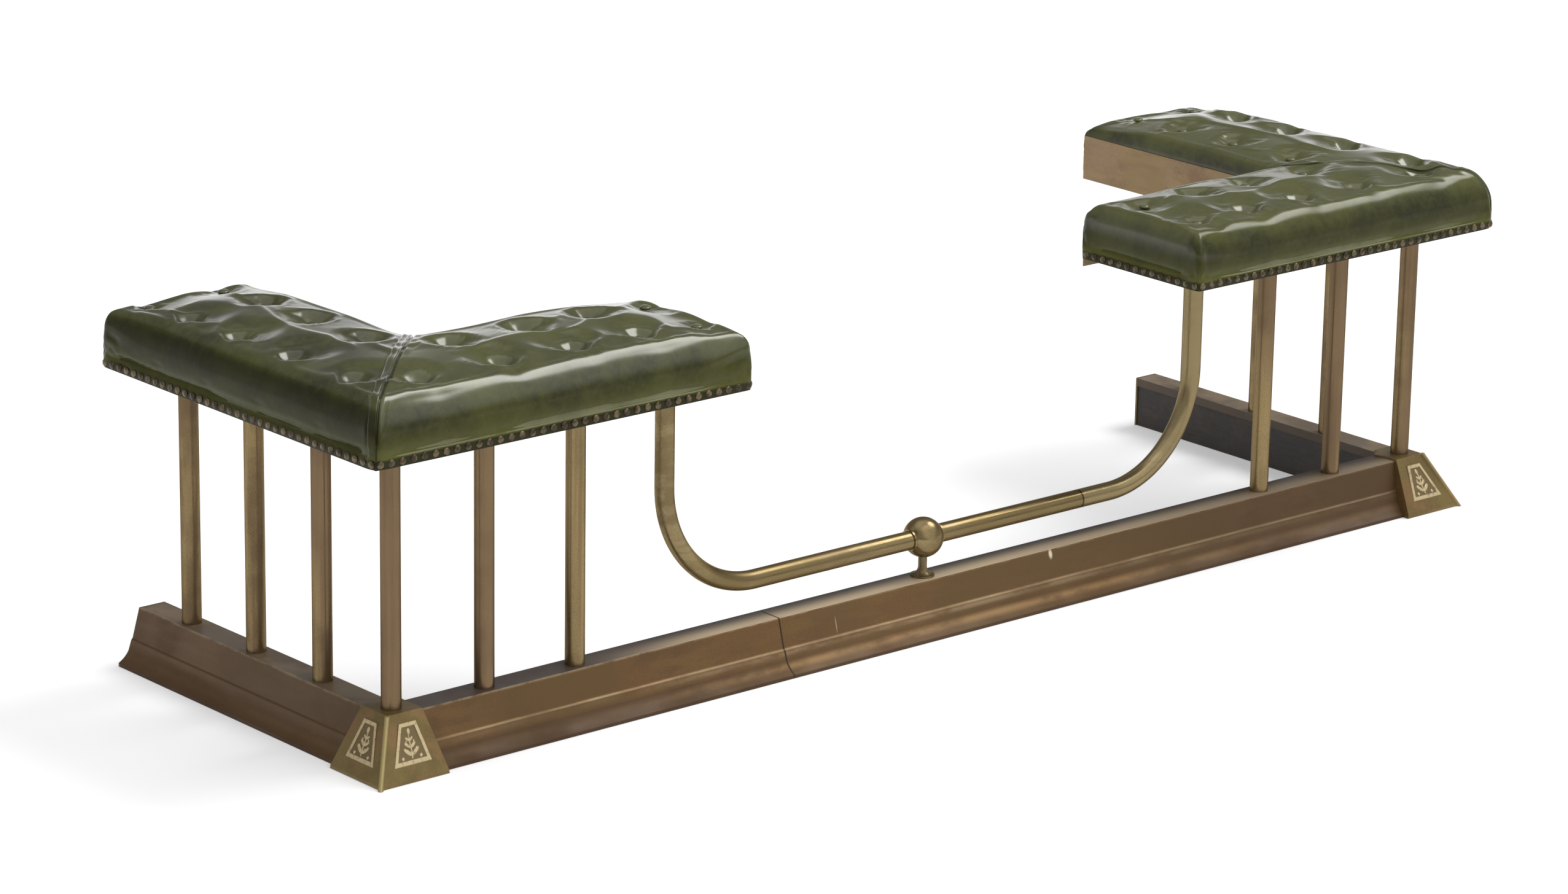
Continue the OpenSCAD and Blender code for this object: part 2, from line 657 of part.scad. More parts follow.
// Height of a rounding of width w at a distance from its edge, from 0 to 1
function rounding(d, w) = let (c = min(max(d / w, 0), 1)) sqrt(1 - (1 - c) * (1 - c));
tuft_flat = 18;                                    // Radius of a tuft's level floor
function dip(d) = pow(1 - smooth((d - tuft_flat) / (tuft_r - tuft_flat)), 1.5);
pleat_half = 16;                                   // Half the width of a pleat
function pleat(s, t, b) = t > b[1] ? 0 : 1 - smooth(abs(s - b[0]) / pleat_half);
function top_height(s, t, end, rows) =
  let (edge = min(rounding(t + overhang, round_w), rounding(cushion_inner - t, round_in),
                  rounding(end - s, round_in)),
       bulge = sin(180 * (t + overhang) / (cushion_inner + overhang)),
       outer_tuft = tuft_h * max([for (b = outer_row(rows)) dip(norm([s, t] - b))]),
       inner_tuft = tuft_in * max([for (b = inner_row(rows)) dip(norm([s, t] - b))]),
       fold = pleat_h * max([for (b = outer_row(rows)) pleat(s, t, b)]))
  side_h + round_h * edge + edge * (crown_h * bulge - max(outer_tuft, inner_tuft, fold));

// Grid lines across an arm: close together over each rounding
round_steps = 3;
across_steps = 9;
function ease(i) = round_w * (1 - cos(90 * i / round_steps));
in_power = 1.3;                                    // Spreads the lines over the narrower roundings
function ease_in(i) = round_in * pow(i / round_steps, in_power);
across_lines = concat(
  [for (i = [0 : round_steps]) -overhang + ease(i)],
  [for (i = [1 : across_steps - 1]) mix(-overhang + round_w, cushion_inner - round_in, i / across_steps)],
  [for (i = [round_steps : -1 : 0]) cushion_inner - ease_in(i)]);
along_steps = 27;
// Lines along an arm, from its mitre at 0 to its end at 1
function along_lines(end) = let (reach = end - cushion_inner) concat(
  [for (i = [0 : along_steps]) i / along_steps * (1 - round_in / reach)],
  [for (i = [round_steps - 1 : -1 : 0]) 1 - ease_in(i) / reach]);

// The cushion: a crowned grid on top, sides drawn in between top and nailed edge, flat below
module cushion(end, rows) {
  lines = along_lines(end);
  nt = len(across_lines);
  ns = len(lines);
  // Near the mitre the lines turn gradually until they stand square to the arm
  top = [for (f = lines) for (t = across_lines)
    let (s = mix(t + joint_gap / 2, end, f)) [s, t, seat_z + top_height(s, t, end, rows)]];
  rim = concat([for (j = [0 : nt - 1]) j], [for (i = [1 : ns - 1]) i * nt + nt - 1],
    [for (j = [nt - 2 : -1 : 0]) (ns - 1) * nt + j], [for (i = [ns - 2 : -1 : 1]) i * nt]);
  band = nail_up + nail_d / 2;                     // The nailed edge stays upright
  // Side rings from the top edge down: height above the floor and how far drawn in
  rings = [[mix(band, side_h, 0.45), draw_in], [band, 0], [0, 0]];
  n = len(rim);
  function pulled(p, d) =
    let (across = p[1] < fine - overhang ? d : p[1] > cushion_inner - fine ? -d : 0,
         mitred = p[0] < p[1] + joint_gap / 2 + fine)
    [p[0] + (mitred ? across : p[0] > end - fine ? -d : 0), p[1] + across];
  sides = [for (r = rings) for (k = rim)
    let (p = pulled(top[k], r[1])) [p[0], p[1], seat_z + r[0]]];
  function ring_point(level, k) = level == 0 ? rim[k % n] : ns * nt + (level - 1) * n + k % n;
  foot = ns * nt + len(rings) * n;
  centre = [mix(cushion_inner, end, 0.4), (cushion_inner - overhang) / 2, seat_z];
  faces = concat(
    [for (i = [0 : ns - 2]) for (j = [0 : nt - 2]) each [
      [i * nt + j, i * nt + j + 1, (i + 1) * nt + j],
      [i * nt + j + 1, (i + 1) * nt + j + 1, (i + 1) * nt + j]]],
    [for (level = [0 : len(rings) - 1]) for (k = [0 : n - 1]) each [
      [ring_point(level, k), ring_point(level + 1, k), ring_point(level + 1, k + 1)],
      [ring_point(level, k), ring_point(level + 1, k + 1), ring_point(level, k + 1)]]],
    [for (k = [0 : n - 1]) [ring_point(len(rings), k), foot, ring_point(len(rings), k + 1)]]);
  polyhedron(concat(top, sides, [centre]), faces);
}
// An arm's cushion, hollowed underneath for its board
module arm_cushion(end, rows) difference() {
  cushion(end, rows);
  translate([-overhang - cut, board_outer - board_gap, seat_z - cut])
    cube([overhang + cut + end - skirt_t, board_inner - board_outer + 2 * board_gap,
      board_t + board_gap + cut]);
}
module return_cushion(end) mirror([1, -1, 0]) arm_cushion(end, return_rows);
module left_front_cushion() color(leather) left() arm_cushion(front_end, left_rows);
module left_return_cushion() color(leather) left() return_cushion(return_end);
module right_front_cushion() color(leather) right() arm_cushion(front_end, right_rows);
module right_return_cushion() color(leather) right() return_cushion(right_return_end);

// ---- Buttons and nails ----
button_lift = 1;                                   // Room under a button's flat back
button_edge = 2;                                   // Upright edge of a button
dome_run = 4;                                      // How far a button's dome slopes in
module button() {
  cylinder(h = button_edge, d = button_d, $fn = 32);
  translate([0, 0, button_edge])
    cylinder(h = button_h - button_edge, d1 = button_d, d2 = button_d - 2 * dome_run, $fn = 32);
}
module arm_buttons(end, rows) for (b = concat(outer_row(rows), inner_row(rows)))
  translate([b[0], b[1], seat_z + top_height(b[0], b[1], end, rows) + button_lift]) button();
module seat_buttons(rows, end) {
  arm_buttons(front_end, rows);
  mirror([1, -1, 0]) arm_buttons(end, return_rows);
}
module left_buttons() color(leather) left() seat_buttons(left_rows, return_end);
module right_buttons() color(leather) right() seat_buttons(right_rows, right_return_end);

nail_slope = 2.5;                                  // How far a nail's head slopes in
module nail() rotate([90, 0, 0])
  cylinder(h = nail_h, d1 = nail_d, d2 = nail_d - 2 * nail_slope, $fn = 16);
// Nails along an edge of a given length, evenly spaced, the first half a pitch in
module nail_row(len) {
  count = floor(len / nail_pitch);
  for (i = [0 : count - 1]) translate([(i + 0.5) * len / count, 0, seat_z + nail_up]) nail();
}
module arm_nails(end) {
  translate([-overhang, -overhang, 0]) nail_row(end + overhang);
  translate([end, -overhang, 0]) rotate([0, 0, 90]) nail_row(cushion_inner + overhang);
}
module seat_nails(end) {
  arm_nails(front_end);
  mirror([1, -1, 0]) arm_nails(end);
}
module left_nails() color(brass) left() seat_nails(return_end);
module right_nails() color(brass) right() seat_nails(right_return_end);

front_plinth_left();
front_plinth_right();
front_core_left();
front_core_right();
joint_strap();
left_return_plinth();
left_return_core();
left_end_plate();
left_corner_block();
right_return_plinth();
right_return_core();
right_end_plate();
right_corner_block();
left_corner_post();
left_front_post_1();
left_front_post_2();
left_return_post_1();
left_return_post_2();
left_return_post_3();
right_corner_post();
right_front_post_1();
right_front_post_2();
right_return_post_1();
right_return_post_2();
right_return_post_3();
left_rail_tube();
right_rail_tube();
centre_rail();
rail_ball();
rail_foot();
rail_plugs();
left_tie_rods();
left_nuts_and_washers();
left_front_bar();
left_return_bar();
left_lining();
left_front_board();
left_return_board();
left_seat_screws();
left_front_strip();
left_return_strip();
left_front_cushion();
left_return_cushion();
left_buttons();
left_nails();
right_tie_rods();
right_nuts_and_washers();
right_front_bar();
right_return_bar();
right_lining();
right_front_board();
right_return_board();
right_seat_screws();
right_front_strip();
right_return_strip();
right_front_cushion();
right_return_cushion();
right_buttons();
right_nails();
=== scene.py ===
import json
import math

import bmesh
import bpy
import numpy as np
from mathutils import Matrix, Vector


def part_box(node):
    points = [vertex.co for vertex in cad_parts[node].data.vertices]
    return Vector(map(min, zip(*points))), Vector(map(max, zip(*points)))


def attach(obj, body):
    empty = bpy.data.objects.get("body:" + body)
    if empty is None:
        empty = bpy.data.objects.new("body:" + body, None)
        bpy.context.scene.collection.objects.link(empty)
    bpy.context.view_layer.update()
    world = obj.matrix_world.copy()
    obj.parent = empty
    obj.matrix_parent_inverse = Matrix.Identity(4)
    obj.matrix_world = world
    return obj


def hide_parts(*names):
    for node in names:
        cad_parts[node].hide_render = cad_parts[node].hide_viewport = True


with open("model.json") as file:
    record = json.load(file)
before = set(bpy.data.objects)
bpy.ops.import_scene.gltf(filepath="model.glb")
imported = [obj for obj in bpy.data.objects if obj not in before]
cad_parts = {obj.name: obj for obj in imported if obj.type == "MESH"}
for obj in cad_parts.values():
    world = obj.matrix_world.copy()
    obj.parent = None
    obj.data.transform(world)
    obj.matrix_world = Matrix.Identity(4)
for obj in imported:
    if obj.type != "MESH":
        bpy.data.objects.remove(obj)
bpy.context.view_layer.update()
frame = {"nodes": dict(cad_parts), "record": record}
nodes = frame["nodes"]
print("frame loaded,", len(nodes), "nodes")

scene = bpy.context.scene
scene.view_settings.view_transform = "Standard"

sides = ("left", "right")

# the plan that everything follows, in millimetres, as the frame has it
postLow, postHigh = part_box("right_corner_post")
cornerX = 1000 * (postLow.x + postHigh.x) / 2
frontY = 1000 * (postLow.y + postHigh.y) / 2
seatZ = 1000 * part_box("left_front_cushion")[0].z
armEnds = {}                                  # where the front and return arms end, from the corner post
for side in sides:
    inside = min(abs(v.x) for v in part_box(side + "_front_cushion"))
    armEnds[side] = (cornerX - 1000 * inside, 1000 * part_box(side + "_return_cushion")[1].y - frontY)
print("arms end at", armEnds)


def tone(red, green, blue):
    # a colour as a screen shows it, 0 to 255, turned into the linear values that shaders take
    return tuple((c / 255 / 12.92 if c / 255 <= 0.04045 else ((c / 255 + 0.055) / 1.055) ** 2.4)
                 for c in (red, green, blue)) + (1.0,)


def newObject(name, points, faces, material):
    # a smooth piece: points in millimetres as an array of rows, faces as lists of row numbers
    mesh = bpy.data.meshes.new(name)
    mesh.from_pydata((np.asarray(points) * 0.001).tolist(), [], faces)
    mesh.validate()
    mesh.polygons.foreach_set("use_smooth", [True] * len(mesh.polygons))
    mesh.materials.append(material)
    piece = bpy.data.objects.new(name, mesh)
    scene.collection.objects.link(piece)
    return piece


def gridFaces(rows, columns, start=0, wrapColumns=False, flip=False):
    # the quads of a grid whose points are numbered row by row from start
    i = np.arange(rows - 1)[:, None]
    j = np.arange(columns if wrapColumns else columns - 1)[None, :]
    here, beside = i * columns + j, i * columns + (j + 1) % columns
    quads = np.stack([here, beside, beside + columns, here + columns], -1).reshape(-1, 4) + start
    return (quads[:, ::-1] if flip else quads).tolist()


def ringFaces(upper, lower):
    # the quads between two closed loops of point numbers
    return np.stack([upper, np.roll(upper, -1), np.roll(lower, -1), lower], 1).tolist()


def spunFaces(rings, around, start):
    # the quads of a shape spun round its middle, and its flat first end
    return gridFaces(rings, around, start, wrapColumns=True) + [(np.arange(around)[::-1] + start).tolist()]


joinWithin = 0.00002                          # metres between points that are one


def turnOutward(piece, join=0.0):
    # turns all faces outwards, after joining points that fall together
    solid = bmesh.new()
    solid.from_mesh(piece.data)
    if join:
        bmesh.ops.remove_doubles(solid, verts=solid.verts, dist=join)
    bmesh.ops.recalc_face_normals(solid, faces=solid.faces)
    solid.to_mesh(piece.data)
    solid.free()


def smoothStep(low, high, value):
    # 0 below low, 1 above high, and three t squared less two t cubed between them
    t = np.clip((value - low) / (high - low), 0, 1)
    return t * t * (3 - 2 * t)


def toSide(points, side):
    # from the frame of a corner post, outward being -x and -y, to the whole fender's
    out = np.array(points, float)
    out[..., 0] = (out[..., 0] - cornerX) * (1 if side == "left" else -1)
    out[..., 1] += frontY
    out[..., 2] += seatZ
    return out


camera = {
    "lens": 121.986, "sensor": 36.0,          # both in millimetres
    "place": (-4.5118, -5.1425, 2.2280),
    "yaw": 40.7607, "pitch": 16.5697, "roll": 0.9402,
    "sees": 200.0,                            # how far, in metres
}


def makeCamera(look):
    yaw, pitch, roll = (math.radians(look[k]) for k in ("yaw", "pitch", "roll"))
    level = math.cos(pitch)
    ahead = Vector((math.sin(yaw) * level, math.cos(yaw) * level, -math.sin(pitch)))
    right = Vector((math.cos(yaw), -math.sin(yaw), 0))
    up = right.cross(ahead)
    across = right * math.cos(roll) + up * math.sin(roll)
    upright = up * math.cos(roll) - right * math.sin(roll)
    data = bpy.data.cameras.new("photoCamera")
    data.lens, data.sensor_width, data.sensor_fit = look["lens"], look["sensor"], "HORIZONTAL"
    data.clip_end = look["sees"]
    body = bpy.data.objects.new("photoCamera", data)
    turn = Matrix((across, upright, -ahead)).transposed().to_4x4()
    body.matrix_world = Matrix.Translation(look["place"]) @ turn
    scene.collection.objects.link(body)
    scene.camera = body


makeCamera(camera)
print("camera placed")


def isSocket(value):
    return isinstance(value, bpy.types.NodeSocket)


def feed(tree, socket, value):
    # a socket is linked to another one, or given a value of its own
    if isSocket(value):
        tree.links.new(value, socket)
    else:
        socket.default_value = value


def put(tree, kind, wires=None, **settings):
    # adds a node; wires says what feeds its sockets
    node = tree.nodes.new(kind)
    for key, value in settings.items():
        setattr(node, key, value)
    for key, value in (wires or {}).items():
        feed(tree, node.inputs[key], value)
    return node


def calc(tree, operation, *values, clamp=False):
    wires = dict(enumerate(values))
    return put(tree, "ShaderNodeMath", wires, operation=operation, use_clamp=clamp).outputs[0]


def ramp(tree, value, fromLow, fromHigh, toLow=0.0, toHigh=1.0):
    # an eased step from toLow to toHigh
    return put(tree, "ShaderNodeMapRange", {0: value, 1: fromLow, 2: fromHigh, 3: toLow, 4: toHigh},
               interpolation_type="SMOOTHSTEP").outputs[0]


def pick(tree, mask, off, on):
    # off where the mask is 0, on where it is 1
    return ramp(tree, mask, 0.0, 1.0, off, on)


def both(tree, *masks):
    share = masks[0]
    for mask in masks[1:]:
        share = calc(tree, "MULTIPLY", share, mask)
    return share


def blendTones(tree, share, first, second, mode="MIX"):
    # each of the two is a socket, or a colour as a screen shows it
    first, second = (v if isSocket(v) else tone(*v) for v in (first, second))
    return put(tree, "ShaderNodeMix", {0: share, 6: first, 7: second},
               data_type="RGBA", blend_type=mode).outputs[2]


def speckle(tree, place, scale, detail=3.0, rough=0.55, twist=0.0):
    return put(tree, "ShaderNodeTexNoise", {"Vector": place, "Scale": scale, "Detail": detail,
               "Roughness": rough, "Distortion": twist}).outputs[0]


def stretched(tree, place, factors):
    return put(tree, "ShaderNodeVectorMath", {0: place, 1: factors}, operation="MULTIPLY").outputs[0]


def newGroup(name, takes, gives):
    group = bpy.data.node_groups.new(name, "ShaderNodeTree")
    kinds = {"v": "NodeSocketVector", "f": "NodeSocketFloat", "c": "NodeSocketColor"}
    for label, kind in takes:
        group.interface.new_socket(label, in_out="INPUT", socket_type=kinds[kind])
    for label, kind in gives:
        group.interface.new_socket(label, in_out="OUTPUT", socket_type=kinds[kind])
    return group, put(group, "NodeGroupInput").outputs, put(group, "NodeGroupOutput").inputs


def useGroup(tree, group, **wires):
    return put(tree, "ShaderNodeGroup", wires, node_tree=group).outputs


# tarnish: broad clouds between two tones, upright streaks of a third, fine specks
tarnish, given, out = newGroup(
    "tarnish",
    [("Place", "v"), ("Base", "c"), ("Dark", "c"), ("Streak", "c"), ("Amount", "f"), ("Stretch", "v")],
    [("Colour", "c"), ("Roughness", "f"), ("Height", "f")])
clouds = speckle(tarnish, given["Place"], 9.0, 4.0, 0.6)
streaks = speckle(tarnish, stretched(tarnish, given["Place"], given["Stretch"]), 55.0, 3.0, 0.5)
specks = speckle(tarnish, given["Place"], 650.0, 2.0, 0.6)
cloudShare = calc(tarnish, "MULTIPLY", ramp(tarnish, clouds, 0.40, 0.62), given["Amount"])
mixed = blendTones(tarnish, cloudShare, given["Base"], given["Dark"])
streakShare = calc(tarnish, "MULTIPLY", ramp(tarnish, streaks, 0.44, 0.64), given["Amount"])
mixed = blendTones(tarnish, streakShare, mixed, given["Streak"])
dirt = ramp(tarnish, specks, 0.35, 0.55, 0.80, 1.0)
speckTone = put(tarnish, "ShaderNodeCombineColor", {0: dirt, 1: dirt, 2: dirt}).outputs[0]
tarnish.links.new(blendTones(tarnish, 1.0, mixed, speckTone, "MULTIPLY"), out["Colour"])
rough = calc(tarnish, "ADD", ramp(tarnish, clouds, 0.35, 0.68, 0.34, 0.50),
             ramp(tarnish, streaks, 0.4, 0.7, 0.0, -0.08))
tarnish.links.new(rough, out["Roughness"])
tarnish.links.new(calc(tarnish, "ADD", calc(tarnish, "MULTIPLY", specks, 0.3), clouds), out["Height"])

# rubbed: a band that is bright within a width of a line and breaks up along it
rubbed, given, out = newGroup("rubbed", [("Place", "v"), ("Distance", "f"), ("Width", "f")], [("Mask", "f")])
near = calc(rubbed, "SUBTRACT", 1.0, calc(rubbed, "DIVIDE", given["Distance"], given["Width"]), clamp=True)
broken = ramp(rubbed, speckle(rubbed, given["Place"], 38.0, 4.0, 0.65), 0.33, 0.60)
rubbed.links.new(calc(rubbed, "MULTIPLY", calc(rubbed, "POWER", near, 1.5), broken, clamp=True), out["Mask"])

# outward: how far a point stands outside the line of posts, how far it is along the kerb, which arm
# it is on, and how far it is from the corner's diagonal, the front being the positive side
outward, given, out = newGroup("outward", [("Place", "v")], [
    ("Out", "f"), ("Along", "f"), ("Return", "f"), ("Right", "f"), ("Diagonal", "f"), ("Height", "f")])
parts = put(outward, "ShaderNodeSeparateXYZ", {0: given["Place"]}).outputs
pastSide = calc(outward, "SUBTRACT", calc(outward, "ABSOLUTE", parts[0]), cornerX / 1000)
pastFront = calc(outward, "SUBTRACT", frontY / 1000, parts[1])
onReturn = calc(outward, "GREATER_THAN", pastSide, pastFront)
onFront = calc(outward, "SUBTRACT", 1.0, onReturn)
along = calc(outward, "ADD", calc(outward, "MULTIPLY", parts[0], onFront),
             calc(outward, "MULTIPLY", parts[1], onReturn))
for label, value in (("Out", calc(outward, "MAXIMUM", pastSide, pastFront)), ("Along", along),
                     ("Return", onReturn), ("Right", calc(outward, "GREATER_THAN", parts[0], 0.0)),
                     ("Diagonal", calc(outward, "SUBTRACT", pastFront, pastSide)), ("Height", parts[2])):
    outward.links.new(value, out[label])

# hideGrain: pebbled cells with fine creases, and clouds of wax over them
hideGrain, given, out = newGroup("hideGrain", [("Place", "v")],
                                 [("Clouds", "f"), ("Pebbles", "f"), ("Creases", "f"), ("Height", "f")])
bends = put(hideGrain, "ShaderNodeTexNoise", {"Vector": given["Place"], "Scale": 160.0, "Detail": 2.0})
bends = stretched(hideGrain, bends.outputs[1], (0.0016, 0.0016, 0.0016))
bent = put(hideGrain, "ShaderNodeVectorMath", {0: given["Place"], 1: bends}, operation="ADD").outputs[0]
cells = put(hideGrain, "ShaderNodeTexVoronoi", {"Vector": bent, "Scale": 620.0},
            feature="DISTANCE_TO_EDGE").outputs[0]
pebbles = ramp(hideGrain, cells, 0.0, 0.35)
creases = ramp(hideGrain, speckle(hideGrain, bent, 75.0, 5.0, 0.6, 0.6), 0.42, 0.62)
hideGrain.links.new(speckle(hideGrain, given["Place"], 14.0, 4.0, 0.6), out["Clouds"])
hideGrain.links.new(pebbles, out["Pebbles"])
hideGrain.links.new(creases, out["Creases"])
hideGrain.links.new(calc(hideGrain, "ADD", calc(hideGrain, "MULTIPLY", pebbles, 0.55),
                         calc(hideGrain, "MULTIPLY", creases, 0.45)), out["Height"])


def newMaterial(name):
    material = bpy.data.materials.new(name)
    material.use_nodes = True
    tree = material.node_tree
    tree.nodes.clear()
    shader = put(tree, "ShaderNodeBsdfPrincipled")
    put(tree, "ShaderNodeOutputMaterial", {"Surface": shader.outputs[0]})
    return material, tree, shader, put(tree, "ShaderNodeTexCoord").outputs["Object"]


def wire(tree, shader, **links):
    for label, value in links.items():
        feed(tree, shader.inputs[label.replace("_", " ")], value)


def bumped(tree, height, strength, depth):
    return put(tree, "ShaderNodeBump", {"Height": height, "Strength": strength, "Distance": depth}).outputs[0]


def tarnished(tree, place, look, amount, stretch):
    return useGroup(tree, tarnish, Place=place, Base=tone(*look["base"]), Dark=tone(*look["dark"]),
                    Streak=tone(*look["streak"]), Amount=amount, Stretch=stretch)


# "other" is the tone of some lengths, "edge" tints the gloss, "shine" changes the roughness
metals = {
    "tubeBrass": {
        "base": (134, 115, 80), "dark": (98, 80, 60), "streak": (148, 128, 90), "other": (112, 92, 70),
        "amount": 0.7, "stretch": (1.0, 1.0, 0.10), "metal": 0.75, "bump": 0.08,
        "edge": (0.42, 0.37, 0.30, 1.0), "shine": -0.08,
    },
    "railBrass": {
        "base": (133, 116, 80), "dark": (114, 98, 70), "streak": (146, 129, 94), "other": (118, 102, 68),
        "amount": 0.7, "stretch": (0.25, 1.0, 1.0), "metal": 0.75, "bump": 0.08,
        "edge": (0.42, 0.37, 0.30, 1.0), "shine": -0.12, "past": (160, 146, 112), "joint": (54, 42, 28),
    },
    "plateBrass": {
        "base": (118, 104, 76), "dark": (84, 72, 54), "streak": (138, 122, 88), "other": (96, 84, 60),
        "amount": 0.7, "stretch": (1.0, 1.0, 0.5), "metal": 0.6, "bump": 0.10,
        "edge": (0.45, 0.40, 0.30, 1.0), "shine": 0.0,
    },
    "stripBrass": {
        "base": (141, 117, 86), "dark": (126, 98, 73), "streak": (146, 122, 85), "other": (136, 114, 76),
        "amount": 0.7, "stretch": (1.0, 0.3, 1.0), "metal": 0.35, "bump": 0.05,
        "edge": (1.0, 0.92, 0.80, 1.0), "shine": 0.0,
    },
}


def metalMaterial(name, jointAt=None):
    look = metals[name]
    material, tree, shader, place = newMaterial(name)
    worn = tarnished(tree, place, look, look["amount"], look["stretch"])
    # the tone also changes from one length of metal to the next
    apart = speckle(tree, stretched(tree, place, (1.0, 1.0, 0.12)), 11.0, 1.0, 0.5)
    colour = blendTones(tree, ramp(tree, apart, 0.42, 0.58, 0.0, 0.85), worn["Colour"], look["other"])
    # narrow streaks of patina run along the metal
    finer = stretched(tree, place, tuple(v ** 1.7 for v in look["stretch"]))
    thin = ramp(tree, speckle(tree, finer, 120.0, 2.0, 0.5), 0.50, 0.66, 0.0, 0.45)
    colour = blendTones(tree, thin, colour, look["dark"])
    if jointAt is not None:
        # a dark line where one length of the rail is pushed into the next, which is a little paler
        past = calc(tree, "SUBTRACT", put(tree, "ShaderNodeSeparateXYZ", {0: place}).outputs[0], jointAt)
        colour = blendTones(tree, ramp(tree, past, -0.0005, 0.0005, 0.0, 0.30), colour, look["past"])
        line = ramp(tree, calc(tree, "ABSOLUTE", past), 0.0008, 0.0022, 0.85, 0.0)
        colour = blendTones(tree, line, colour, look["joint"])
    wire(tree, shader, Base_Color=colour, Roughness=calc(tree, "ADD", worn["Roughness"], look["shine"]),
         Metallic=look["metal"], Specular_Tint=look["edge"],
         Normal=bumped(tree, worn["Height"], look["bump"], 0.0004))
    return material


tubeBrass, plateBrass, stripBrass = map(metalMaterial, ("tubeBrass", "plateBrass", "stripBrass"))
railBrass = metalMaterial("railBrass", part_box("right_rail_tube")[0][0])

kerbLook = {
    "base": (104, 75, 40), "dark": (86, 61, 34), "streak": (112, 85, 46), "patch": (92, 70, 36),
    "pale": (172, 150, 118), "flare": (158, 124, 80), "foot": (64, 43, 24), "low": (92, 66, 32),
    "edge": (166, 138, 98), "joint": (56, 38, 22), "bare": (226, 208, 178),
    "inside": (66, 60, 54), "topPale": (204, 182, 150),
    "leftTop": (122, 104, 82), "rightTop": (142, 122, 96), "farTop": (88, 76, 68),
    "metal": 0.30, "flareMetal": 0.18,
    # what follows is in metres: places outside the posts and heights, each with the width of its mark: the
    # arris's rub, and the painted highlights at the step, under it and along the flare
    "arris": (0.0195, 0.073, 0.0035), "step": (0.0308, 0.0335, 0.0026),
    "band": (0.029, 0.0055), "flareHighlight": (0.0135, 0.0062),
    "jointAt": -0.288, "jointWide": 0.0016,
    # along the front, height, half width, half height
    "chip": (0.1888, 0.0665, 0.0045, 0.0085), "scratch": (-0.196, 0.047, 0.0012, 0.014),
}


def lineDistance(tree, across, up, atAcross, atUp, flatten=1.0):
    # how far a point is from a line or a spot, its height counting for less where flatten is below 1
    a = calc(tree, "SUBTRACT", across, atAcross)
    b = calc(tree, "MULTIPLY", calc(tree, "SUBTRACT", up, atUp), flatten)
    return calc(tree, "SQRT", calc(tree, "ADD", calc(tree, "MULTIPLY", a, a), calc(tree, "MULTIPLY", b, b)))


